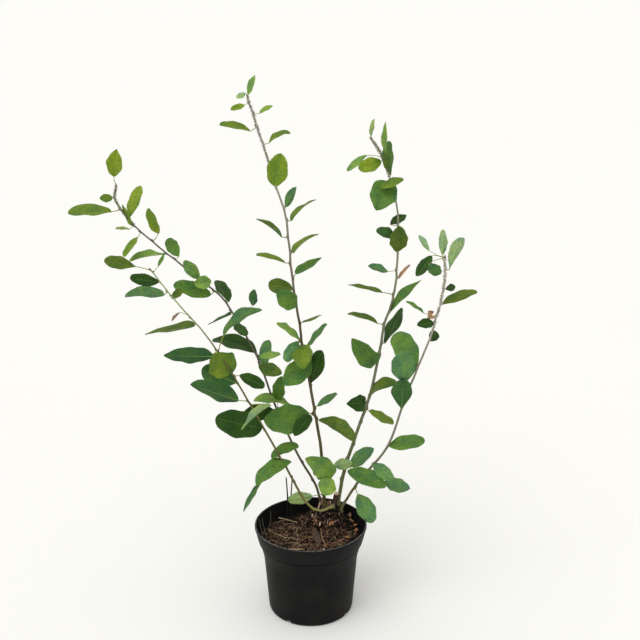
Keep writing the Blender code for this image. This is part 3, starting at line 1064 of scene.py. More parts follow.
# Place, lift, three half sizes, yaw and pitch in degrees, and finish of the chips that show
SHOWN_CHIPS = (
    (2, 38, 2.0, 3.4, 1.6, 0.8, 80, 55, CHIP_PALE), (9, 27, 1.0, 5.5, 1.8, 0.8, 96, 14, MIX_RED),
    (14, 19, 1.4, 6.0, 1.6, 0.8, 84, 14, CHIP_PALE), (31, 18, 1.6, 5.6, 3.6, 1.1, 50, 30, CHIP_ORANGE),
    (26, 20, 1.8, 3.8, 0.9, 0.7, 95, 30, CHIP_PALE), (36, 21, 0.6, 4.0, 2.2, 0.9, 20, 20, MIX_RED),
    (60, 43, 5.0, 5.0, 3.4, 1.3, 60, 40, MIX_RED), (63, 34, 2.0, 4.6, 2.6, 1.3, 150, 20, CHIP_ORANGE),
    (67, 26, 1.0, 5.6, 3.2, 1.4, 10, 15, CHIP_ORANGE),
    (70, 17, 0.8, 4.2, 2.6, 1.3, 60, 10, CHIP_ORANGE),
    (9.5, -4, 1.2, 21.0, 5.0, 2.4, 101, 6, CHIP_WET), (5, -2, 1.0, 17.0, 3.4, 2.2, 95, 8, CHIP_WET),
    (13, -8, 1.0, 15.0, 3.2, 2.0, 106, 5, CHIP_WET), (8, -14, 2.6, 9.0, 2.2, 1.4, 98, 3, CHIP_WET),
    (13, 49, 4.0, 7.0, 1.3, 1.0, 60, 62, CHIP_PALE), (18, 52, 4.0, 6.0, 2.6, 1.2, 100, 50, MIX_RED),
    (27, 46, 3.0, 6.5, 3.0, 1.2, 80, 60, MIX_RED), (31, 46, 4.0, 6.5, 1.1, 0.9, 110, 62, CHIP_PALE),
    (36, 47, 3.0, 6.0, 1.2, 0.9, 70, 55, MIX_RED), (45, -12, 0.6, 6.0, 2.2, 1.2, 20, 5, MIX_RED),
    (56, -4, 0.6, 5.0, 2.0, 1.1, 140, 5, CHIP_ORANGE), (38, -18, 0.4, 5.0, 1.8, 1.0, 160, 5, MIX_RED),
    (-8, -24, 0.4, 6.0, 2.4, 1.2, 30, 5, MIX_RED), (-44, -22, 0.4, 6.0, 2.2, 1.2, 160, 5, MIX_BROWN),
    (-20, 2, 0.4, 5.0, 2.0, 1.0, 80, 5, MIX_RED),
)
# Start, heading, length, bend, lift and radius of the straws that show
SHOWN_STRAWS = (
    ((-67, 29), -62, 70, 58, 1.0, 0.45), ((15, 12), -84, 42, 10, 1.5, 0.4),
    ((-30, 20), 20, 14, 120, 2.5, 0.28), ((-22, 27), -50, 12, -90, 2.0, 0.28),
    ((-52, 25), 10, 12, -60, 1.5, 0.28), ((-6, 0), -80, 14, 110, 2.5, 0.32),
    ((-60, 46), -20, 22, 80, 2.0, 0.3), ((-46, 34), 30, 20, -40, 1.5, 0.3),
    ((28, -14), 30, 30, 70, 2.0, 0.22), ((44, -2), -20, 22, 60, 1.5, 0.22),
    ((-40, -20), 20, 30, -50, 1.5, 0.24), ((-14, 30), 80, 16, 60, 3.0, 0.26),
)
# Start, end, bow, radius and finish of the stalks that stand or lean
STANDING_STALKS = (
    ((-51, 47, 123), (-20, 40, 118), 1.0, 0.8, STRAW),
    ((-33, -68, 133), (-12, -74, 139), 1.5, 0.55, STRAW),
    ((-28, -62, 128), (-24, -80, 141), 1.0, 0.5, STRAW),
    ((-18, -64, 130), (-10, -76, 139), -1.0, 0.5, STRAW),
    ((-34, -73, 137), (-20, -70, 136), -1.5, 0.5, STRAW),
    ((-26, -70, 134), (-8, -73, 137), 1.0, 0.6, STRAW),
    ((-38, 60, 112), (-39, 61, 186), 1.5, 1.5, DEAD_STALK_AND_SHADE),
    ((-31, 60, 112), (-29, 63, 188), -1.5, 1.4, DEAD_STALK_AND_SHADE),
    ((-66, -1, 113), (-77, 36, 135), -1.5, 0.5, DEAD_WIRE),
    ((-67, 28, 113), (-64, 48, 134), 2.5, 0.5, DEAD_WIRE),
    ((-72, -6, 112), (-80, 20, 136), 0.0, 0.45, DEAD_WIRE),
)


def standing_stalk(start: Triple, end: Triple, bow: float, radius: float) -> Shape:
    """A thin tapering stalk, bowed to the right by a half sine.

    Args:
        start: Its lower end.
        end: Its upper end.
        bow: How far its middle lies to the right of a straight line.
        radius: Its radius at the lower end.

    Returns:
        A thin closed tube.
    """
    share = np.linspace(0.0, 1.0, 12)[:, None]
    first, last = np.array(start, dtype=float), np.array(end, dtype=float)
    line = first + (last - first) * share + EYE_RIGHT * bow * np.sin(math.pi * share)
    return tube(line, radius * (1.0 - 0.35 * share[:, 0]), 6, unit(TO_EYE + 0.4 * EYE_RIGHT))


@dataclass
class PottingMix:
    """Bark and peat mix: level near the wall, heaped round the shoots, with loose litter.

    A pair of shares deals out a piece's finishes, first in the open and then in the shade, where the
    darker deal is painted shade.
    """

    pot: NurseryPot
    level_height: float = 114.0
    heap_centre: Pair = (31.0, 50.0)
    heap_height: float = 31.0
    heap_spread: float = 35.0
    heap_at_wall: float = 0.35
    ripple_height: float = 1.2
    ripple_rates: Pair = (0.21, 0.17)
    edge_radius: float = 77.4
    edge_width: float = 9.0
    settle_width: float = 5.0
    settle_least: float = 0.15
    foot_height: float = 2.2
    foot_inset: float = 5.0
    side_heights: tuple[float, ...] = (8.0, 40.0, 86.0, 100.0, 108.0)
    side_gap: float = 0.5
    clods: tuple[Pair, ...] = ((1.3, 15.0), (1.0, 6.0), (0.5, 2.6))
    ground_drop: float = 0.8
    ground_segments: int = 220
    ground_rings: int = 84
    crumb_count: int = 3800
    crumb_size: Pair = (0.55, 1.5)
    crumb_stretch: Pair = (0.6, 1.3)
    crumb_shares: tuple = ((0.42, 0.38, 0.20), (0.90, 0.08, 0.02))
    chip_count: int = 420
    chip_length: Pair = (1.4, 4.6)
    chip_width_share: Pair = (0.22, 0.55)
    chip_thickness: Pair = (0.3, 0.9)
    chip_tilt: float = 0.4
    chip_lift: float = 0.5
    chip_shares: tuple = ((0.18, 0.42, 0.28, 0.04, 0.06, 0.02), (0.80, 0.12, 0.04, 0.04, 0.0, 0.0))
    fibre_count: int = 460
    fibre_length: Pair = (4.0, 20.0)
    fibre_bend: float = 90.0
    fibre_lift: Pair = (0.0, 2.4)
    fibre_radius: Pair = (0.14, 0.32)
    fibre_clearance: float = 1.0
    fibre_rings: int = 13
    fibre_sides: int = 5
    fibre_shares: tuple = ((0.07, 0.48, 0.30, 0.15), (0.01, 0.11, 0.08, 0.80))
    # Painted shade: darker crumbs and chips and near-black fibres are dealt round this centre and
    # toward the wall behind
    shade_centre: Pair = (56.0, 36.0)
    shade_spread: float = 26.0
    shade_behind: Pair = (25.0, 65.0)
    seed: int = 11

    def level(self, x: np.ndarray, y: np.ndarray) -> np.ndarray:
        """The height of the ground: a plane, a bell-shaped heap and low ripples.

        Args:
            x: The x of each place.
            y: The y of each place.

        Returns:
            The height of each place.
        """
        away = np.hypot(x - self.heap_centre[0], y - self.heap_centre[1])
        bell = self.heap_height * np.exp(-(away / self.heap_spread) ** 2)
        inward = share_between(np.hypot(x, y), self.edge_radius, self.edge_radius - self.edge_width)
        rate_x, rate_y = self.ripple_rates
        ripple = self.ripple_height * np.sin(rate_x * x + 1.0) * np.sin(rate_y * y + 2.0) * inward
        kept = self.heap_at_wall + (1.0 - self.heap_at_wall) * inward
        return self.level_height + bell * kept + ripple

    def scatter(self, count: int, chance: Chance, reach: float = 0.95
                ) -> tuple[np.ndarray, np.ndarray]:
        """Even random places on the ground.

        Args:
            count: Number of places.
            chance: The source of the places.
            reach: The share of the ground's radius that they may use.

        Returns:
            The x and the y of each place.
        """
        radius = self.edge_radius * reach * np.sqrt(chance.uniform(0.0, 1.0, count))
        angle = chance.uniform(0.0, math.tau, count)
        return radius * np.cos(angle), radius * np.sin(angle)

    def deal(self, x: np.ndarray, y: np.ndarray, chance: Chance,
             open_share: tuple[float, ...], shaded_share: tuple[float, ...]) -> np.ndarray:
        """A finish number for each place: one deal in the open, a darker one in the shade as painted
        shade.

        A place is in the shade with a chance that falls off like a bell from the shade's
        centre, and rises toward the wall behind.

        Args:
            x: The x of each place.
            y: The y of each place.
            chance: The source of the deal.
            open_share: The share of each finish in the open.
            shaded_share: The share of each finish in the shade.

        Returns:
            One finish number a place.
        """
        away = np.hypot(x - self.shade_centre[0], y - self.shade_centre[1])
        shaded = np.exp(-(away / self.shade_spread) ** 2) + share_between(y, *self.shade_behind)
        in_shade = chance.uniform(0.0, 1.0, len(x)) < shaded
        light = chance.choice(len(open_share), len(x), p=open_share)
        dark = chance.choice(len(shaded_share), len(x), p=shaded_share)
        return np.where(in_shade, dark, light)

    def build(self) -> None:
        """Ground, crumbs, chips and fibres."""
        chance = np.random.default_rng(self.seed)
        self.build_ground(chance)
        self.build_crumbs(chance)
        self.build_chips(chance)
        self.build_fibres(chance)

    def build_ground(self, chance: Chance) -> None:
        """The body of the mix: a turned side, and a top raised into clods by waves.

        Args:
            chance: The source of the waves.
        """
        side_z = np.array((self.foot_height, *self.side_heights))
        side_r = np.minimum(self.pot.inner_radius(side_z) - self.side_gap, self.edge_radius)
        side_r[0] = self.pot.base_radius - self.foot_inset
        top_r = np.linspace(self.edge_radius, 1.2, self.ground_rings)
        angle = round_angles(self.ground_segments)
        x, y = top_r[:, None] * np.cos(angle), top_r[:, None] * np.sin(angle)
        clods = sum(height * waves(x, y, length, chance) for height, length in self.clods)
        settled = np.clip((self.edge_radius - top_r) / self.settle_width, self.settle_least, 1.0)
        top_z = self.level(x, y) + clods * settled[:, None] - self.ground_drop
        under_and_side = np.concatenate(([self.foot_height], side_z))[:, None]
        height = np.vstack((np.repeat(under_and_side, self.ground_segments, axis=1), top_z))
        radius = np.concatenate(([20.0], side_r, top_r))
        piece = Piece("mix_ground", [MIX_DARK])
        piece.add(turned(radius, height, self.ground_segments), MIX_DARK)
        piece.build("potting_mix", ("potting_mix",), sharp=80.0)

    def build_crumbs(self, chance: Chance) -> None:
        """Small crumbs of peat and bark dust all over the ground.

        Args:
            chance: The source of their places, sizes, turns and finishes.
        """
        x, y = self.scatter(self.crumb_count, chance, 0.99)
        size = chance.uniform(*self.crumb_size, self.crumb_count) ** 1.4
        centres = np.stack((x, y, self.level(x, y) + 0.25 * size), axis=-1)
        stretch = chance.uniform(*self.crumb_stretch, (self.crumb_count, 3))
        turns = chance.uniform(0.0, math.tau, (self.crumb_count, 3))
        shape = lumps(centres, size[:, None] * stretch, turns, 0.28, chance)
        piece = Piece("mix_crumbs", [MIX_DARK, MIX_BROWN, MIX_RED])
        piece.add(shape, lump_faces(self.deal(x, y, chance, *self.crumb_shares)))
        piece.build("potting_mix", sharp=50.0)

    def build_chips(self, chance: Chance) -> None:
        """Bark chips, most lying flat, and the larger ones that show in front.

        Args:
            chance: The source of their places, sizes, turns and finishes.
        """
        count = self.chip_count
        x, y = self.scatter(count, chance)
        long = chance.uniform(*self.chip_length, count)
        sizes = np.stack((long, long * chance.uniform(*self.chip_width_share, count),
                          chance.uniform(*self.chip_thickness, count)), axis=-1)
        turns = np.stack((chance.uniform(0.0, math.tau, count),
                          chance.normal(0.0, self.chip_tilt, count),
                          chance.normal(0.0, self.chip_tilt, count)), axis=-1)
        kind = self.deal(x, y, chance, *self.chip_shares)
        piece = Piece("bark_chips", [MIX_DARK, MIX_BROWN, MIX_RED, CHIP_WET, CHIP_ORANGE, CHIP_PALE])
        shown = np.array([row[:-1] for row in SHOWN_CHIPS], dtype=float)
        shown_kind = [piece.finishes.index(row[-1]) for row in SHOWN_CHIPS]
        yaw, pitch = shown[:, 6], shown[:, 7]
        shown_turns = np.radians(np.stack((yaw, -pitch, 0.2 * pitch), axis=-1))
        x, y = np.concatenate((x, shown[:, 0])), np.concatenate((y, shown[:, 1]))
        lift = np.concatenate((np.full(count, self.chip_lift), shown[:, 2]))
        sizes = np.vstack((sizes, shown[:, 3:6]))
        centres = np.stack((x, y, self.level(x, y) + lift + 0.6 * sizes[:, 2]), axis=-1)
        shape = lumps(centres, sizes, np.vstack((turns, shown_turns)), 0.30, chance)
        piece.add(shape, lump_faces(np.concatenate((kind, shown_kind))))
        piece.build("potting_mix", sharp=35.0)

    def fibre(self, start: Pair, heading: float, length: float, bend: float, lift: float,
              radius: float) -> Shape:
        """One fibre on the ground: an arc in plan that rises in the middle.

        Its heading turns evenly by the bend from start to end, and its height is the
        ground's plus the lift times a half sine.

        Args:
            start: The x and y of its first end.
            heading: Its first direction in degrees.
            length: Its length.
            bend: How many degrees it turns.
            lift: How far its middle stands off the ground.
            radius: Its radius in the middle.

        Returns:
            A thin closed tube.
        """
        share = np.linspace(0.0, 1.0, self.fibre_rings)
        direction = np.radians(heading + bend * share)[:-1]
        step = length / (self.fibre_rings - 1)
        x = start[0] + np.concatenate(([0.0], np.cumsum(np.cos(direction)))) * step
        y = start[1] + np.concatenate(([0.0], np.cumsum(np.sin(direction)))) * step
        inside = np.minimum(1.0, (self.edge_radius - 1.0) / np.maximum(np.hypot(x, y), 1.0))
        x, y = x * inside, y * inside
        arch = np.sin(math.pi * share)
        z = self.level(x, y) + self.fibre_clearance + lift * arch
        radii = radius * (0.45 + 0.55 * arch ** 0.5)
        return tube(np.stack((x, y, z), axis=-1), radii, self.fibre_sides, UP)

    def build_fibres(self, chance: Chance) -> None:
        """Straw and root fibres: loose ones anywhere, and those that stand out in front.

        Args:
            chance: The source of the loose ones.
        """
        piece = Piece("straw_fibres", [STRAW, ROOT_FIBRE, RED_FIBRE, DEAD_STALK_AND_SHADE, DEAD_WIRE])
        x, y = self.scatter(self.fibre_count, chance)
        kind = self.deal(x, y, chance, *self.fibre_shares)
        for place, number in zip(zip(x, y), kind):
            loose = self.fibre(place, chance.uniform(0.0, 360.0), chance.uniform(*self.fibre_length),
                               chance.normal(0.0, self.fibre_bend), chance.uniform(*self.fibre_lift),
                               chance.uniform(*self.fibre_radius))
            piece.add(loose, piece.finishes[number])
        for row in SHOWN_STRAWS:
            piece.add(self.fibre(*row), STRAW)
        for *row, finish in STANDING_STALKS:
            piece.add(standing_stalk(*row), finish)
        piece.build("potting_mix", sharp=60.0)


@dataclass
class CutStump:
    """The stump of a cut stem: a rough stub with pale wood at its slanting top."""

    foot: Triple = (36.0, 52.0, 136.0)
    rise: Triple = (4.0, -2.0, 29.0)
    radius: float = 4.4
    taper: float = 0.5
    ridge: float = 0.35
    top_share: float = 0.86
    rings: int = 16
    sides: int = 14

    def build(self) -> None:
        """A tube with three ridges that wind up it, as a sine of three times the angle."""
        share = np.linspace(0.0, 1.0, self.rings)
        line = np.array(self.foot) + np.outer(share, self.rise)
        angle = round_angles(self.sides)
        ridges = np.sin(3.0 * angle + 5.0 * share[:, None])
        radii = self.radius - self.taper * share[:, None] + self.ridge * ridges
        radii[-1] *= self.top_share
        shape = tube(line, radii, self.sides, TO_EYE)
        piece = Piece("cut_stump", [STUMP_BARK, CUT_WOOD])
        numbers = np.zeros(len(shape.quads) + len(shape.triangles), dtype=int)
        cut = piece.finishes.index(CUT_WOOD)
        numbers[len(shape.quads) - self.sides:len(shape.quads)] = cut
        numbers[-self.sides:] = cut
        piece.add(shape, numbers)
        piece.build("young_bark", sharp=40.0)


# The shoots

@dataclass(frozen=True)
class Leaf:
    """One leaf as the eye sees it on its shoot.

    The stalk runs from the shoot to the blade, and both have a clock angle, 0 up and 90
    to the right. Lengths and the width are as they show; the lean toward the eye makes
    the true length longer, and the blade turns about its run until it shows its width.
    The bow is how far the blade's middle lies up or to the upper left of a straight line,
    as a share of its length.
    """

    height: float
    stalk: float
    stalk_clock: float
    clock: float
    lean: float
    length: float
    width: float
    tone: Tone
    form: Form = Form.OVAL
    bow: float = 0.0


@dataclass(frozen=True)
class Spread:
    """How one blade lies: where it starts, its three directions, its sizes and its fold."""

    base: np.ndarray
    run: np.ndarray
    facing: np.ndarray
    normal: np.ndarray
    length: float
    width: float
    fold: float


@dataclass(frozen=True)
class Midrib:
    """A blade's midrib: its points, and the directions along, right and up at each."""

    centre: np.ndarray
    along: np.ndarray
    right: np.ndarray
    up: np.ndarray


@dataclass
class LeafMaker:
    """The make of a juneberry leaf: outline, teeth, veins, fold and stalk.

    A draw is the least and the greatest value of an even one, and a normal is the mean
    and the spread of a normal one.
    """

    width_share: float = 0.44
    width_draw: Pair = (0.92, 1.05)
    dead_width: float = 1.6
    dead_fold: float = 1.2
    least_half_width: float = 0.12
    mature_length: float = 50.0
    least_teeth: int = 8
    tooth_pitch: float = 3.0
    tooth_place: float = 0.7
    tooth_depth: float = 0.75
    tooth_draw: Pair = (0.5, 1.2)
    tooth_lean: float = 0.9
    teeth_from: Pair = (0.14, 0.34)
    teeth_to: Pair = (1.0, 0.96)
    end_crowding: float = 0.45
    lobing: float = 0.05
    lobing_draw: Pair = (1.5, 3.2)
    vein_pairs: int = 9
    vein_slope: float = 0.85
    vein_curve: float = 0.35
    vein_softness: float = 0.7
    pillow: float = 0.80
    groove: float = 0.45
    groove_width: float = 0.9
    thickness: float = 0.40
    fold: float = 0.30
    fold_draw: Pair = (0.6, 1.4)
    fold_rounding: float = 1.5
    cup_normal: Pair = (-0.03, 0.05)
    wave: float = 0.028
    wave_draw: Pair = (0.4, 1.5)
    wave_rate_draw: Pair = (1.4, 2.4)
    arch_normal: Pair = (0.02, 0.02)
    twist_normal: Pair = (0.0, 0.15)
    columns: int = 15
    rib_rings: int = 22
    stalk_rings: int = 9
    rib_sides: int = 6
    stalk_radius: float = 0.85
    stalk_bend: float = 0.18
    stalk_lean_share: float = 0.6
    stalkless_within: float = 1.0
    stalkless_gap: float = 1.5
    rib_radius: float = 0.62
    rib_tip_radius: float = 0.16
    rib_reach: float = 0.97
    rib_lift: float = 0.12
    full_rib_length: float = 45.0
    least_rib_size: float = 0.6

    def outline(self, along: np.ndarray, form: Form) -> np.ndarray:
        """Half width along the blade as a share: a sine bent to its widest place.

        The sine of pi times along to a power is one at the widest place, and it is
        raised to an exponent that runs from the base's to the tip's.

        Args:
            along: Places along the blade, from 0 at its base to 1 at its tip.
            form: The outline's numbers.

        Returns:
            One share a place.
        """
        power = math.log(0.5) / math.log(form.widest)
        exponent = form.base + (form.tip - form.base) * along
        return np.clip(np.sin(math.pi * along ** power), 0.0, 1.0) ** exponent

    @staticmethod
    def turn_to_show(shown: float, width: float, fold: float) -> float:
        """How far a folded blade turns about its run to show a width.

        While both halves spread, a blade shows its width times the turn's cosine. Turned
        further, one half hides the other and shows alone.

        Args:
            shown: The width to show.
            width: The blade's width.
            fold: The slope of each half.

        Returns:
            The turn in radians.
        """
        slope = math.atan(fold)
        if shown >= width * math.sin(slope):
            return math.acos(min(1.0, shown / width))
        return slope + math.acos(min(1.0, 2.0 * shown * math.cos(slope) / width))

    def build(self, leaf: Leaf, shoot: Shoot, blades: Piece, stalks: Piece,
              chance: Chance) -> None:
        """Add one leaf's blade, and its stalk and midrib, to their pieces.

        Args:
            leaf: The leaf's row.
            shoot: The shoot that carries it.
            blades: The piece for blades.
            stalks: The piece for stalks and midribs.
            chance: The source of curl and unevenness.
        """
        run = seen_direction(leaf.clock, leaf.lean)
        length = leaf.length / math.cos(math.radians(leaf.lean))
        width = max(leaf.width, self.width_share * length * chance.uniform(*self.width_draw))
        fold = self.fold * chance.uniform(*self.fold_draw)
        if leaf.tone is Tone.BROWN:
            width, fold = leaf.width * self.dead_width, self.dead_fold
        turn = self.turn_to_show(leaf.width, width, fold)
        if leaf.tone.underside:
            turn = math.pi - turn
        distance = shoot.distance_at(leaf.height)
        root, growth = shoot.point(distance), shoot.growth(distance)
        facing = unit(TO_EYE - run * (TO_EYE @ run))
        side = np.cross(run, facing)
        if side @ (growth + UP) < 0.0:
            side = -side
        normal = facing * math.cos(turn) + side * math.sin(turn)
        seen_stalk = seen_direction(leaf.stalk_clock, 0.0) * leaf.stalk
        stalk_lean = math.radians(self.stalk_lean_share * leaf.lean)
        base = root + seen_stalk + TO_EYE * leaf.stalk * math.tan(stalk_lean)
        stem_radius = shoot.radius(distance)
        if leaf.stalk < stem_radius + self.stalkless_within:
            base = root + unit(seen_stalk + run) * (stem_radius + self.stalkless_gap)
        spread = Spread(base, run, facing, normal, length, width, fold)
        rib = self.add_blade(leaf, spread, blades, chance)
        self.add_stalk(leaf, root, growth, rib, stalks)

    def stations(self, length: float) -> tuple[np.ndarray, np.ndarray]:
        """Places along a blade, a notch and a point for each tooth.

        Even steps less a sine crowd together toward the base and the tip.

        Args:
            length: The blade's length.

        Returns:
            The places, from 0 at the base to 1 at the tip, and 1 for those with a point.
        """
        teeth = max(self.least_teeth, round(length / self.tooth_pitch))
        count = np.arange(teeth)
        even = np.sort(np.concatenate((count, count + self.tooth_place, [teeth]))) / teeth
        has_point = np.concatenate((np.tile((0.0, 1.0), teeth), [0.0]))
        return even - self.end_crowding * np.sin(math.tau * even) / math.tau, has_point

    def relief(self, u: np.ndarray, has_point: np.ndarray, leaf: Leaf, spread: Spread,
               chance: Chance) -> tuple[np.ndarray, np.ndarray, np.ndarray]:
        """The blade laid straight, as distances from its midrib.

        To the side it is the outline's half width, waved a little, with teeth at the
        edge that point forward. Above, the tissue swells by a cosine between side veins
        that slope forward, sinks in a groove at the midrib, folds up like a wide V with
        a rounded foot, cups by the square of the place across, and waves at the edge.

        Args:
            u: Places along the blade.
            has_point: 1 for the places with a tooth's point.
            leaf: The leaf's row.
            spread: How its blade lies.
            chance: The source of unevenness.

        Returns:
            How far each point lies to the side, above and ahead.
        """
        length, widest_half = spread.length, 0.5 * spread.width
        mature = min(1.0, length / self.mature_length)
        half = np.maximum(widest_half * self.outline(u, leaf.form), self.least_half_width)
        v = np.linspace(-1.0, 1.0, self.columns)
        phase = np.where(v < 0.0, chance.uniform(0.0, 1.0), chance.uniform(0.0, 1.0))
        toothed = share_between(u, *self.teeth_from) * share_between(u, *self.teeth_to)
        sizes = chance.uniform(*self.tooth_draw, len(u))
        tooth = (self.tooth_depth * mature * has_point * toothed * sizes)[:, None] * np.abs(v) ** 6
        lobes = np.sin(math.tau * (u[:, None] * chance.uniform(*self.lobing_draw) + phase))
        x = half[:, None] * v * (1.0 + self.lobing * lobes) + tooth * np.sign(v)
        across = np.abs(x) / widest_half
        vein_foot = u[:, None] * length - np.abs(x) * (
            self.vein_slope + self.vein_curve * across ** 2)
        between = 0.5 - 0.5 * np.cos(math.tau * self.vein_pairs * vein_foot / length)
        off_rib = np.clip(np.abs(v) * 4.0, 0.0, 1.0) * (1.0 - np.abs(v) ** 4)
        z = self.pillow * mature * between ** self.vein_softness * off_rib
        z = z - self.groove * np.exp(-(x / self.groove_width) ** 2)
        z = z + spread.fold * (np.hypot(x, self.fold_rounding) - self.fold_rounding)
        cup = chance.normal(*self.cup_normal) * spread.width
        z = z + cup * across ** 2 * (half / widest_half)[:, None]
        wave = self.wave * spread.width * chance.uniform(*self.wave_draw)
        ripples = np.sin(math.tau * (chance.uniform(*self.wave_rate_draw) * u[:, None] + phase))
        return x, z + wave * v ** 2 * ripples, self.tooth_lean * tooth

    def midrib(self, u: np.ndarray, leaf: Leaf, spread: Spread, chance: Chance
               ) -> Midrib:
        """The run bowed by a parabola to the side and slightly toward the eye, and twisted.

        Args:
            u: Places along the blade.
            leaf: The leaf's row.
            spread: How its blade lies.
            chance: The source of the slight bow and the twist.

        Returns:
            The midrib.
        """
        sideways = np.cross(spread.run, spread.facing)
        if sideways @ (EYE_UP - 0.5 * EYE_RIGHT) < 0.0:
            sideways = -sideways
        bend = (sideways * leaf.bow * leaf.length
                + spread.facing * chance.normal(*self.arch_normal) * spread.length)
        centre = (spread.base + np.outer(u * spread.length, spread.run)
                  + np.outer(4.0 * u * (1.0 - u), bend))
        along = unit(spread.run * spread.length + np.outer(4.0 - 8.0 * u, bend))
        up = unit(spread.normal - (along @ spread.normal)[:, None] * along)
        right = np.cross(along, up)
        twist = (chance.normal(*self.twist_normal) * (u - 0.5))[:, None]
        return Midrib(centre, along, right * np.cos(twist) + up * np.sin(twist),
                      up * np.cos(twist) - right * np.sin(twist))

    def add_blade(self, leaf: Leaf, spread: Spread, blades: Piece, chance: Chance
                  ) -> Midrib:
        """A thin closed blade: a grid of rows along the midrib and columns across it.

        The upper side is the relief carried along the midrib, and the lower side lies a
        thickness under it and shares its edge.

        Args:
            leaf: The leaf's row.
            spread: How its blade lies.
            blades: The piece for blades.
            chance: The source of curl and unevenness.

        Returns:
            The blade's midrib.
        """
        u, has_point = self.stations(spread.length)
        aside, above, ahead = self.relief(u, has_point, leaf, spread, chance)
        rib = self.midrib(u, leaf, spread, chance)
        top = (rib.centre[:, None] + rib.right[:, None] * aside[..., None]
               + rib.up[:, None] * above[..., None] + rib.along[:, None] * ahead[..., None])
        bottom = (top - rib.up[:, None] * self.thickness)[1:-1, 1:-1]
        inner = (len(u) - 2, self.columns - 2)
        lower = np.arange(aside.size).reshape(aside.shape)
        lower[1:-1, 1:-1] = aside.size + np.arange(math.prod(inner)).reshape(inner)
        quads = grid_quads(*aside.shape)
        shape = Shape(np.vstack((top.reshape(-1, 3), bottom.reshape(-1, 3))),
                      np.vstack((quads, lower.ravel()[quads][:, ::-1])))
        sides = (UPPER[leaf.tone.colour], UNDER[leaf.tone.colour])
        blades.add(shape, np.repeat([blades.finishes.index(side) for side in sides], len(quads)))
        return rib

    def add_stalk(self, leaf: Leaf, root: np.ndarray, growth: np.ndarray, rib: Midrib,
                  stalks: Piece) -> None:
        """The stalk, a quadratic curve from the shoot into the blade, then its midrib.

        Args:
            leaf: The leaf's row.
            root: Where the stalk leaves the shoot.
            growth: The shoot's direction there.
            rib: The blade's midrib.
            stalks: The piece for stalks and midribs.
        """
        foot = rib.centre[0]
        handle = 0.5 * (root + foot) - rib.along[0] * self.stalk_bend * np.linalg.norm(foot - root)
        share = np.linspace(0.0, 1.0, self.stalk_rings, endpoint=False)[:, None]
        stalk = (root * (1.0 - share) ** 2 + 2.0 * handle * share * (1.0 - share)
                 + foot * share ** 2)
        number = np.arange(len(rib.centre))
        places = np.linspace(0.0, self.rib_reach * number[-1], self.rib_rings)
        line, up = points_at(places, number, rib.centre), points_at(places, number, rib.up)
        size = min(1.0, max(self.least_rib_size, leaf.length / self.full_rib_length))
        taper = np.linspace(0.0, 1.0, self.rib_rings) ** 0.8
        rib_radii = (self.rib_radius * (1.0 - taper) + self.rib_tip_radius * taper) * size
        line = line + up * (self.rib_lift - self.groove - rib_radii)[:, None]
        narrowing = (self.rib_radius - self.stalk_radius) * share[:, 0]
        radii = np.concatenate(((self.stalk_radius + narrowing) * size, rib_radii))
        shape = tube(np.vstack((stalk, line)), radii, self.rib_sides, rib.up[0] + 0.01 * growth)
        faces = len(shape.quads) + len(shape.triangles)
        numbers = np.full(faces, stalks.finishes.index(RIB))
        numbers[:self.stalk_rings * self.rib_sides] = stalks.finishes.index(LEAF_STALK)
        stalks.add(shape, numbers)


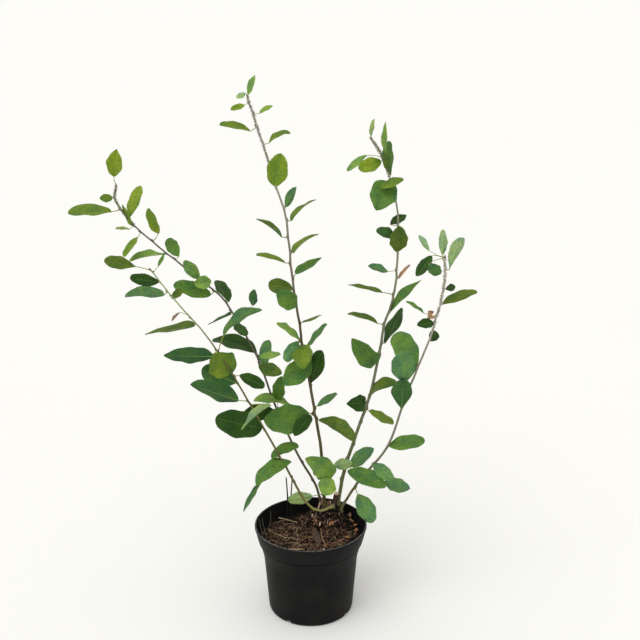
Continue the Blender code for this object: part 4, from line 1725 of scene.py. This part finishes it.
@dataclass
class Shoot:
    """One shoot: a tapering stem with a node at each leaf, and the leaves it carries."""

    name: str
    foot_radius: float
    tip_radius: float
    foot: Pair
    route: tuple[Triple, ...]
    leaves: tuple[Leaf, ...]
    solids: tuple[str, ...]
    bark: BarkFinish
    seed: int
    foot_rise: float = 4.0
    sunk: float = 4.0
    flare_reach: float = 6.0
    flare_share: float = 0.4
    ring_step: float = 1.5
    sides: int = 16
    ridge: float = 0.035
    bare_node_step: float = 30.0
    bare_nodes_from: float = 18.0
    bare_nodes_end: float = 12.0
    bare_node_shift: float = 5.0
    node_swell: float = 0.48
    node_reach: float = 2.3
    node_kink: float = 0.55
    kink_reach: float = 5.0
    scar_depth: float = 0.06
    scar_drop: float = 2.6
    scar_reach: float = 0.8
    bud_length: Pair = (2.6, 4.2)
    bud_slimness: float = 0.32
    greatest_bud_radius: float = 1.15
    tip_bud_size: float = 1.3
    bud_lean: float = 0.55
    downy_from: float = 1000.0
    hair_count: int = 520
    hair_crowding: float = 0.75
    hair_depth: float = 0.7
    hair_lean_normal: Pair = (0.35, 0.5)
    hair_length: Pair = (1.4, 3.0)
    hair_radius: float = 0.26
    hair_taper: Triple = (1.0, 0.8, 0.3)
    dark_share: float = 0.4
    bare_node_seed: int = 50
    down_seed: int = 90

    def __post_init__(self) -> None:
        """Work out the centre line, with its foot on the potting mix."""
        foot_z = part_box(self.solids[0])[0].z / MM
        above = smooth_line(np.array([(*self.foot, foot_z + self.foot_rise), *self.route], dtype=float))
        self.line = np.vstack(((*self.foot, foot_z - self.sunk), (*self.foot, foot_z), above))
        self.along = lengths_along(self.line)
        self.length = self.along[-1]

    def point(self, distance: float | np.ndarray) -> np.ndarray:
        """The centre of the stem at a distance along it."""
        return points_at(distance, self.along, self.line)

    def growth(self, distance: float) -> np.ndarray:
        """The stem's direction at a distance along it."""
        return unit(self.point(min(distance + 1.0, self.length)) - self.point(distance - 1.0))

    def radius(self, distance: float | np.ndarray) -> float | np.ndarray:
        """The radius of the stem: an even taper with a flare at the foot.

        Args:
            distance: One distance along the stem, or more.

        Returns:
            The radius at each.
        """
        above = np.maximum(distance - self.sunk, 0.0)
        taper = np.clip(1.0 - above / (self.length - self.sunk), 0.0, 1.0) ** 1.2
        plain = self.tip_radius + (self.foot_radius - self.tip_radius) * taper
        return plain + self.flare_share * self.foot_radius * np.exp(-above / self.flare_reach)

    def distance_at(self, height: float) -> float:
        """The distance along the stem where it last rises through a height."""
        below = np.nonzero(self.line[:, 2] < height)[0]
        return float(self.along[min(below[-1] + 1, len(self.along) - 1)])

    def nodes(self) -> list[tuple[float, np.ndarray]]:
        """The stem's nodes, one for each leaf and some more on the bare part below.

        Returns:
            Each node's distance along the stem, and the direction to which its bud points.
        """
        found = [(self.distance_at(leaf.height), seen_direction(leaf.stalk_clock, 0.5 * leaf.lean))
                 for leaf in self.leaves]
        chance = np.random.default_rng(self.seed + self.bare_node_seed)
        lowest = min(distance for distance, _ in found)
        for distance in np.arange(self.bare_nodes_from, lowest - self.bare_nodes_end,
                                  self.bare_node_step):
            place = distance + chance.uniform(-self.bare_node_shift, self.bare_node_shift)
            clock, lean = chance.uniform(0.0, 360.0), chance.uniform(-60.0, 60.0)
            found.append((place, seen_direction(clock, lean)))
        return found

    def build(self, maker: LeafMaker) -> None:
        """The stem, its buds, its down and every leaf.

        Args:
            maker: The make of the leaves.
        """
        chance = np.random.default_rng(self.seed)
        self.build_stem()
        self.build_buds(chance)
        self.build_down()
        blades = Piece(f"{self.name}_leaves", [*UPPER.values(), *UNDER.values()])
        stalks = Piece(f"{self.name}_leaf_stalks", [LEAF_STALK, RIB])
        for leaf in self.leaves:
            maker.build(leaf, self, blades, stalks, chance)
        masses = sorted(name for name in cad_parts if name.startswith(f"leaves_{self.name}"))
        blades.build("foliage", tuple(masses), sharp=70.0)
        stalks.build("foliage", sharp=70.0)

    def build_stem(self) -> None:
        """The stem as a tube with five faint ridges, which swells and kinks at each node.

        The swelling and the leaf scar under it are bells along the stem, and the stem
        steps toward the bud by an amount that falls off evenly to both sides.
        """
        distance = np.linspace(0.0, self.length, int(self.length / self.ring_step))
        line = self.point(distance)
        angle = round_angles(self.sides)
        ridges = self.ridge * np.sin(5.0 * angle + 0.02 * distance[:, None])
        radii = self.radius(distance)[:, None] * (1.0 + ridges)
        up, side = across_line(line, TO_EYE)
        for place, outward in self.nodes():
            ring = int(np.argmin(np.abs(distance - place)))
            off = (distance - place)[:, None]
            toward = math.atan2(outward @ up[ring], outward @ side[ring])
            facing = 0.4 + 0.6 * np.clip(np.cos(angle - toward), 0.0, 1.0)
            swell = self.node_swell * np.exp(-(off / self.node_reach) ** 2) * facing
            scar = self.scar_depth * np.exp(-((off + self.scar_drop) / self.scar_reach) ** 2)
            radii = radii + self.radius(place) * (swell - scar)
            kink = self.node_kink * self.radius(place) * np.exp(-np.abs(off) / self.kink_reach)
            line = line + outward * kink
        radii[-1] *= 0.5
        piece = Piece(f"{self.name}_stem", [self.bark])
        piece.add(tube(line, radii, self.sides, TO_EYE), self.bark)
        piece.build("young_bark", self.solids, sharp=60.0)

    def build_buds(self, chance: Chance) -> None:
        """A small pointed bud in the axil of each leaf and at the tip.

        A bud's radius is its greatest times the sine of pi times the share of its
        length to a power, so that it is widest low down, with a faint step for scales.

        Args:
            chance: The source of their lengths.
        """
        piece = Piece(f"{self.name}_buds", [BUD])
        share = np.linspace(0.02, 0.985, 12)
        profile = np.sin(math.pi * share ** 0.72) ** 0.85 * (1.0 + 0.07 * np.sin(22.0 * share))
        nodes = [*self.nodes(), (self.length - 0.5, self.growth(self.length - 1.5))]
        for distance, outward in nodes:
            growth = self.growth(distance)
            outward = unit(outward - growth * (outward @ growth) * 0.98)
            is_tip = distance > self.length - 1.0
            direction = growth if is_tip else unit(growth + self.bud_lean * outward)
            length = chance.uniform(*self.bud_length) * (self.tip_bud_size if is_tip else 1.0)
            start = self.point(distance) + (0.0 if is_tip else 0.75) * outward * self.radius(distance)
            line = start + direction * (length * share)[:, None]
            radii = min(self.greatest_bud_radius, self.bud_slimness * length) * profile
            piece.add(tube(line, radii, 8, np.cross(direction, TO_EYE + 0.3 * UP)), BUD)
        piece.build("young_bark", sharp=60.0)

    def build_down(self) -> None:
        """Hairs on the young growth above a height, thicker toward the tip, some dark."""
        if self.downy_from > self.line[-1, 2]:
            return
        chance = np.random.default_rng(self.seed + self.down_seed)
        first = self.distance_at(self.downy_from)
        share = chance.uniform(0.0, 1.0, self.hair_count) ** self.hair_crowding
        places = first + (self.length - first) * share
        growth = unit(self.point(np.minimum(places + 1.0, self.length)) - self.point(places - 1.0))
        outward = chance.normal(0.0, 1.0, (self.hair_count, 3))
        outward = unit(outward - growth * (outward * growth).sum(axis=1, keepdims=True))
        lengths = chance.uniform(*self.hair_length, self.hair_count)
        leans = chance.normal(*self.hair_lean_normal, (self.hair_count, 1))
        directions = unit(outward + growth * leans)
        starts = self.point(places) + outward * self.hair_depth * self.radius(places)[:, None]
        steps = np.linspace(0.0, 1.0, 3)[:, None]
        radii = self.hair_radius * np.array(self.hair_taper)
        piece = Piece(f"{self.name}_down", [DOWN, STUMP_BARK])
        for start, direction, length in zip(starts, directions, lengths):
            hair = tube(start + direction * length * steps, radii, 3,
                        np.cross(direction, UP + 0.3 * EYE_RIGHT))
            piece.add(hair, STUMP_BARK if chance.uniform() < self.dark_share else DOWN)
        piece.build("young_bark")


def rows(*values: tuple) -> tuple[Leaf, ...]:
    """Leaves from rows of their fields in order."""
    return tuple(Leaf(*value) for value in values)


Y, L, G, M, D, O, B, S, P, R = (Tone.YELLOW, Tone.LIGHT, Tone.GOLDEN, Tone.MID, Tone.DARK,
                                Tone.OLIVE, Tone.BLUISH, Tone.SHADED, Tone.PALE, Tone.BROWN)
OVAL, OBLONG, OBOVATE, OVATE, POINTED, LANCE = Form

# A leaf's row has the height on its shoot, the stalk's length and clock angle, the
# blade's clock angle, lean, length and width, its tone, and its form and bow if any.
FRONT_LEFT_LEAVES = rows(
    (559, 18, -74, -80, 20, 41, 17, O, OBOVATE),
    (555, 10, 40, 31, 15, 19, 6, M),
    (540, 2, -80, -83, 35, 34, 16, D, OBLONG),
    (524, 6, -132, -93, -15, 56, 14, B, OVATE, 0.05),
    (516, 4, 175, 42, -40, 18, 11, O),
    (482, 18, -63, -140, 10, 16, 5, R),
    (474, 3, -164, -101, 10, 68, 10, O, LANCE),
    (430, 10, -148, -89, 15, 66, 23, S, OVATE),
    (424, 25, 17, 56, -15, 64, 14, B, POINTED, 0.13),
    (370, 17, -27, -44, 35, 38, 43, G, OVAL),
    (372, 3, -66, -66, 25, 51, 34, S, OVAL),
    (380, 8, 74, 116, -25, 39, 17, D, OBLONG),
    (340, 14, -84, -73, -15, 76, 29, S, OVATE),
    (290, 5, -51, -75, 20, 69, 40, D, OBLONG),
    (246, 13, -108, 68, -20, 44, 14, M, OBLONG, 0.14),
    (228, 12, 53, -123, 20, 61, 20, M, OVAL, 0.14),
    (233, 45, -129, -149, 15, 48, 9, B, LANCE),
    (336, 30, 88, -129, 35, 51, 8, P, OVAL, 0.05),
)
BACK_LEFT_LEAVES = rows(
    (646, 13, -13, 14, 30, 37, 23, Y, POINTED),
    (628, 1, -98, -96, 30, 17, 12, G),
    (611, 14, -104, -93, 10, 60, 19, G, OBLONG, 0.04),
    (596, 3, 35, 14, -20, 49, 19, Y, OBLONG),
    (588, 4, -110, -20, 20, 31, 9, Y),
    (586, 9, -137, -89, 35, 18, 4, P),
    (561, 14, 42, -14, 35, 36, 16, Y, OBLONG),
    (576, 8, -157, -152, 30, 35, 13, Y, OVAL, 0.05),
    (545, 2, -110, -103, 20, 50, 11, L, OVAL, 0.03),
    (533, 8, 54, -36, -30, 34, 19, M),
    (503, 2, -38, -38, 30, 32, 18, L),
    (499, 14, 88, -101, 30, 24, 20, L),
    (487, 8, -143, -76, 25, 54, 23, M, OBLONG),
    (468, 5, 82, -32, -40, 40, 17, D, OVAL),
    (452, 5, -169, -113, -35, 41, 5, D, LANCE),
    (442, 30, 54, 5, -40, 25, 13, S),
    (433, 7, -64, 138, 45, 28, 14, D),
    (383, 7, 2, -75, -20, 73, 21, D, OVAL, 0.05),
    (361, 2, 15, 13, -35, 41, 18, B, OBLONG),
    (372, 5, -163, 106, 35, 38, 20, O),
    (283, 26, 36, -83, 20, 56, 13, L, OVAL, 0.08),
    (378, 4, 85, 84, 20, 33, 11, L, OVAL),
    (290, 3, -90, -90, 40, 47, 23, D),
    (283, 30, -10, 13, 35, 38, 20, M, OVATE),
)
CENTRE_LEAVES = rows(
    (774, 2, 17, 20, 10, 28, 10, L, POINTED),
    (774, 5, -28, -119, 20, 14, 8, P),
    (760, 7, -120, -114, 20, 20, 9, Y, OBLONG),
    (746, 9, 77, 53, -25, 21, 8, L, OBLONG),
    (730, 11, -125, -82, 15, 41, 12, G, OBLONG, 0.05),
    (705, 9, 74, 61, -20, 33, 10, G, OBLONG, 0.12),
    (651, 3, -60, 11, 25, 44, 29, Y, OVAL),
    (620, 2, 20, 27, -30, 35, 11, B, POINTED),
    (601, 7, 85, 48, -20, 47, 7, G, LANCE, 0.08),
    (581, 9, -87, -56, 20, 43, 6, O, LANCE, 0.05),
    (554, 5, 95, 52, -25, 46, 8, G, LANCE, 0.08),
    (542, 7, -78, -77, 25, 42, 8, G, OBLONG, 0.03),
    (519, 9, 29, 56, -25, 45, 13, M, LANCE),
    (500, 3, -50, -79, -20, 36, 22, O, OBLONG),
    (475, 4, 174, -50, 30, 35, 27, M, OVAL),
    (444, 6, 71, 68, -35, 29, 4, O, LANCE),
    (420, 3, -57, -55, 35, 41, 10, L, OVAL),
    (405, 7, 43, 41, -20, 45, 9, B, OBLONG),
    (420, 5, -100, -145, 35, 34, 18, B, OBLONG),
    (415, 3, -70, 172, 42, 35, 30, G, OVATE),
    (343, 3, 18, 18, 30, 53, 22, D, OBOVATE),
    (382, 9, 65, -131, 25, 54, 33, M),
    (298, 8, -90, -97, 15, 69, 44, M, OVAL, -0.04),
    (300, 7, -105, -140, 40, 37, 20, D),
    (309, 5, 48, 62, -25, 36, 12, B, OVAL, 0.03),
    (290, 5, 118, 119, 25, 59, 18, O, OBLONG, 0.08),
    (188, 6, 102, -42, 30, 50, 34, L, OVATE, 0.20),
    (191, 13, 103, -148, 35, 26, 29, L),
    (165, 19, -103, -103, -20, 40, 19, P, OBLONG),
)
BACK_RIGHT_LEAVES = rows(
    (675, 36, -30, 10, 15, 25, 7, P),
    (675, 24, -77, -124, -30, 36, 12, L),
    (671, 4, -108, -112, 20, 37, 21, Y, OBLONG),
    (671, 14, 8, 0, 15, 41, 8, L, LANCE),
    (650, 3, 94, -4, -15, 53, 15, M, OBLONG),
    (651, 2, -18, -18, 40, 24, 9, O),
    (638, 1, -60, -156, 20, 49, 41, M, OVATE),
    (633, 21, -106, 76, 30, 37, 14, G, OBLONG),
    (572, 12, -81, 56, -30, 31, 14, D, POINTED),
    (553, 6, -66, -67, 40, 31, 15, S),
    (530, 2, 0, 0, 40, 36, 27, O),
    (506, 13, -99, -73, -30, 31, 11, B),
    (493, 4, 102, 41, -20, 28, 7, R),
    (444, 2, 80, 44, 10, 66, 12, M, LANCE),
    (397, 6, 98, 28, -25, 62, 17, D, POINTED),
    (471, 18, -78, -78, 15, 54, 8, O, LANCE),
    (422, 10, -79, -73, -15, 49, 9, O, OVAL, 0.04),
    (380, 23, -157, -39, 30, 55, 30, M, OVATE),
    (377, 3, 120, -99, 35, 26, 19, M),
    (314, 4, -156, 60, 30, 47, 13, O, OBLONG, 0.20),
    (302, 2, -90, -90, 35, 30, 26, D, LANCE),
    (293, 7, 137, 117, -20, 45, 13, G, OBLONG),
)
FRONT_RIGHT_LEAVES = rows(
    (568, 23, -63, -32, -20, 25, 7, P),
    (566, 5, -41, 6, -20, 36, 13, P),
    (551, 5, 94, 20, 30, 44, 17, P, OBOVATE),
    (568, 18, -80, -142, 10, 35, 15, D),
    (568, 25, -110, 138, 45, 20, 16, S),
    (520, 4, 60, 75, -45, 17, 10, D, POINTED),
    (497, 3, 120, 71, 15, 49, 13, O, OVAL, 0.06),
    (478, 18, -74, -55, -20, 30, 6, M),
    (478, 13, -101, 0, 30, 10, 10, R),
    (470, 2, -93, -101, 40, 25, 14, D),
    (442, 3, 150, 35, -30, 17, 15, D),
    (400, 3, -90, -29, -38, 54, 34, M, OBLONG),
    (366, 9, -57, -9, 36, 47, 36, B),
    (329, 4, -167, -2, 35, 46, 30, S, OBOVATE),
    (257, 4, 38, 80, 15, 54, 20, M, OBLONG),
    (201, 25, -45, -104, -30, 29, 18, P),
    (196, 25, -52, 60, -35, 46, 23, B),
    (221, 3, -61, 125, 35, 37, 20, B),
    (193, 25, -53, 111, 25, 61, 23, M),
    (198, 35, 104, 111, -30, 46, 22, B),
    (180, 12, 158, 150, 25, 46, 28, B, OVAL),
)


def make_shoots() -> list[Shoot]:
    """The five shoots, each on the route that its solid follows.

    Returns:
        The shoots in the order in which they are built.
    """
    return [
        Shoot("front_left", 2.0, 0.85, (35, 41),
              ((30, 32, 150), (14, 20, 150), (-8, 16, 168), (-38, 8, 231), (-74, -5, 309),
               (-116, -27, 401), (-148, -47, 462), (-176, -62, 503), (-208, -88, 559)),
              FRONT_LEFT_LEAVES, ("stem_front_left_low_bend", "stem_front_left"),
              BARK_FRONT_LEFT, seed=101),
        Shoot("back_left", 1.95, 1.1, (15, 56),
              ((6, 58, 178), (-20, 62, 224), (-55, 69, 305), (-82, 71, 383), (-127, 72, 469),
               (-167, 70, 507), (-243, 64, 575), (-278, 60, 621), (-277, 58, 646)),
              BACK_LEFT_LEAVES, ("stem_back_left",), BARK_BACK_LEFT, seed=102, downy_from=585.0),
        Shoot("centre", 2.6, 1.2, (22, 46),
              ((16, 46, 238), (10, 42, 282), (-12, 28, 423), (-25, 18, 519), (-33, 12, 605),
               (-47, 10, 656), (-84, 18, 774)),
              CENTRE_LEAVES, ("stem_centre",), BARK_CENTRE, seed=103, downy_from=655.0),
        Shoot("back_right", 3.0, 1.1, (43, 52),
              ((53, 64, 198), (75, 76, 267), (91, 84, 312), (103, 92, 368), (113, 100, 425),
               (127, 106, 471), (132, 114, 533), (130, 122, 602), (108, 134, 675), (90, 136, 704)),
              BACK_RIGHT_LEAVES, ("stem_back_right",), BARK_BACK_RIGHT, seed=104, downy_from=640.0),
        Shoot("front_right", 2.1, 1.25, (48, 41),
              ((72, 40, 187), (115, 18, 257), (137, -2, 339), (155, -18, 400), (173, -34, 464),
               (183, -48, 527), (182, -56, 568)),
              FRONT_RIGHT_LEAVES, ("stem_front_right",), BARK_FRONT_RIGHT, seed=105,
              downy_from=455.0),
    ]


# The studio

@dataclass
class Studio:
    """A pale floor, soft light all round with a broad key light, and the camera."""

    floor_half: float = 300000.0
    floor_colour: Triple = (0.761, 0.759, 0.751)
    sky_colour: Triple = (0.99, 0.98, 0.94)
    sky_strength: float = 1.0
    key_strength: float = 1.2
    key_spread: float = 50.0
    key_from: Triple = (-0.45, -0.55, 1.0)
    camera_place: Triple = (14.2, -1363.0, 888.0)
    focal_length: float = 56.25
    sensor: float = 36.0
    sight: float = 1000.0

    def build(self) -> None:
        """Set up floor, light and camera."""
        self.build_floor()
        self.build_light()
        self.build_camera()

    def build_floor(self) -> None:
        """One flat pale sheet under the pot."""
        mesh = bpy.data.meshes.new("floor")
        half = self.floor_half * MM
        corners = [(-half, -half, 0.0), (half, -half, 0.0), (half, half, 0.0), (-half, half, 0.0)]
        mesh.from_pydata(corners, [], [(0, 1, 2, 3)])
        finish = Finish("studio_floor", self.floor_colour, roughness=0.9, specular=0.1,
                        contrast=0.004, patch=400.0, relief=0.02)
        mesh.materials.append(finish.material())
        new_object("floor", mesh)

    def build_light(self) -> None:
        """A pale sky and one broad key light from the upper left in front."""
        scene = bpy.context.scene
        scene.view_settings.view_transform = "Standard"
        world = bpy.data.worlds.new("studio_sky")
        world.use_nodes = True
        background = world.node_tree.nodes["Background"]
        background.inputs["Color"].default_value = (*self.sky_colour, 1.0)
        background.inputs["Strength"].default_value = self.sky_strength
        scene.world = world
        lamp = bpy.data.lights.new("key_light", "SUN")
        lamp.energy = self.key_strength
        lamp.angle = math.radians(self.key_spread)
        key = new_object("key_light", lamp)
        x, y, z = self.key_from
        key.rotation_euler = (math.atan2(math.hypot(x, y), z), 0.0, math.atan2(x, -y))

    def build_camera(self) -> None:
        """The camera at the photograph's place, looking down by the eye's pitch."""
        camera = bpy.data.cameras.new("camera")
        camera.lens = self.focal_length
        camera.sensor_width = self.sensor
        camera.clip_end = self.sight
        holder = new_object("camera", camera)
        holder.location = [value * MM for value in self.camera_place]
        holder.rotation_euler = (0.5 * math.pi - EYE_PITCH, 0.0, 0.0)
        bpy.context.scene.camera = holder


def main() -> None:
    """Build the pot, the mix, the shoots and the studio, and note the model's size."""
    logging.basicConfig(level=logging.INFO, format="%(message)s")
    Studio().build()
    pot = NurseryPot()
    pot.build()
    PottingMix(pot).build()
    CutStump().build()
    maker = LeafMaker()
    for shoot in make_shoots():
        shoot.build(maker)


if __name__ == "__main__":
    main()
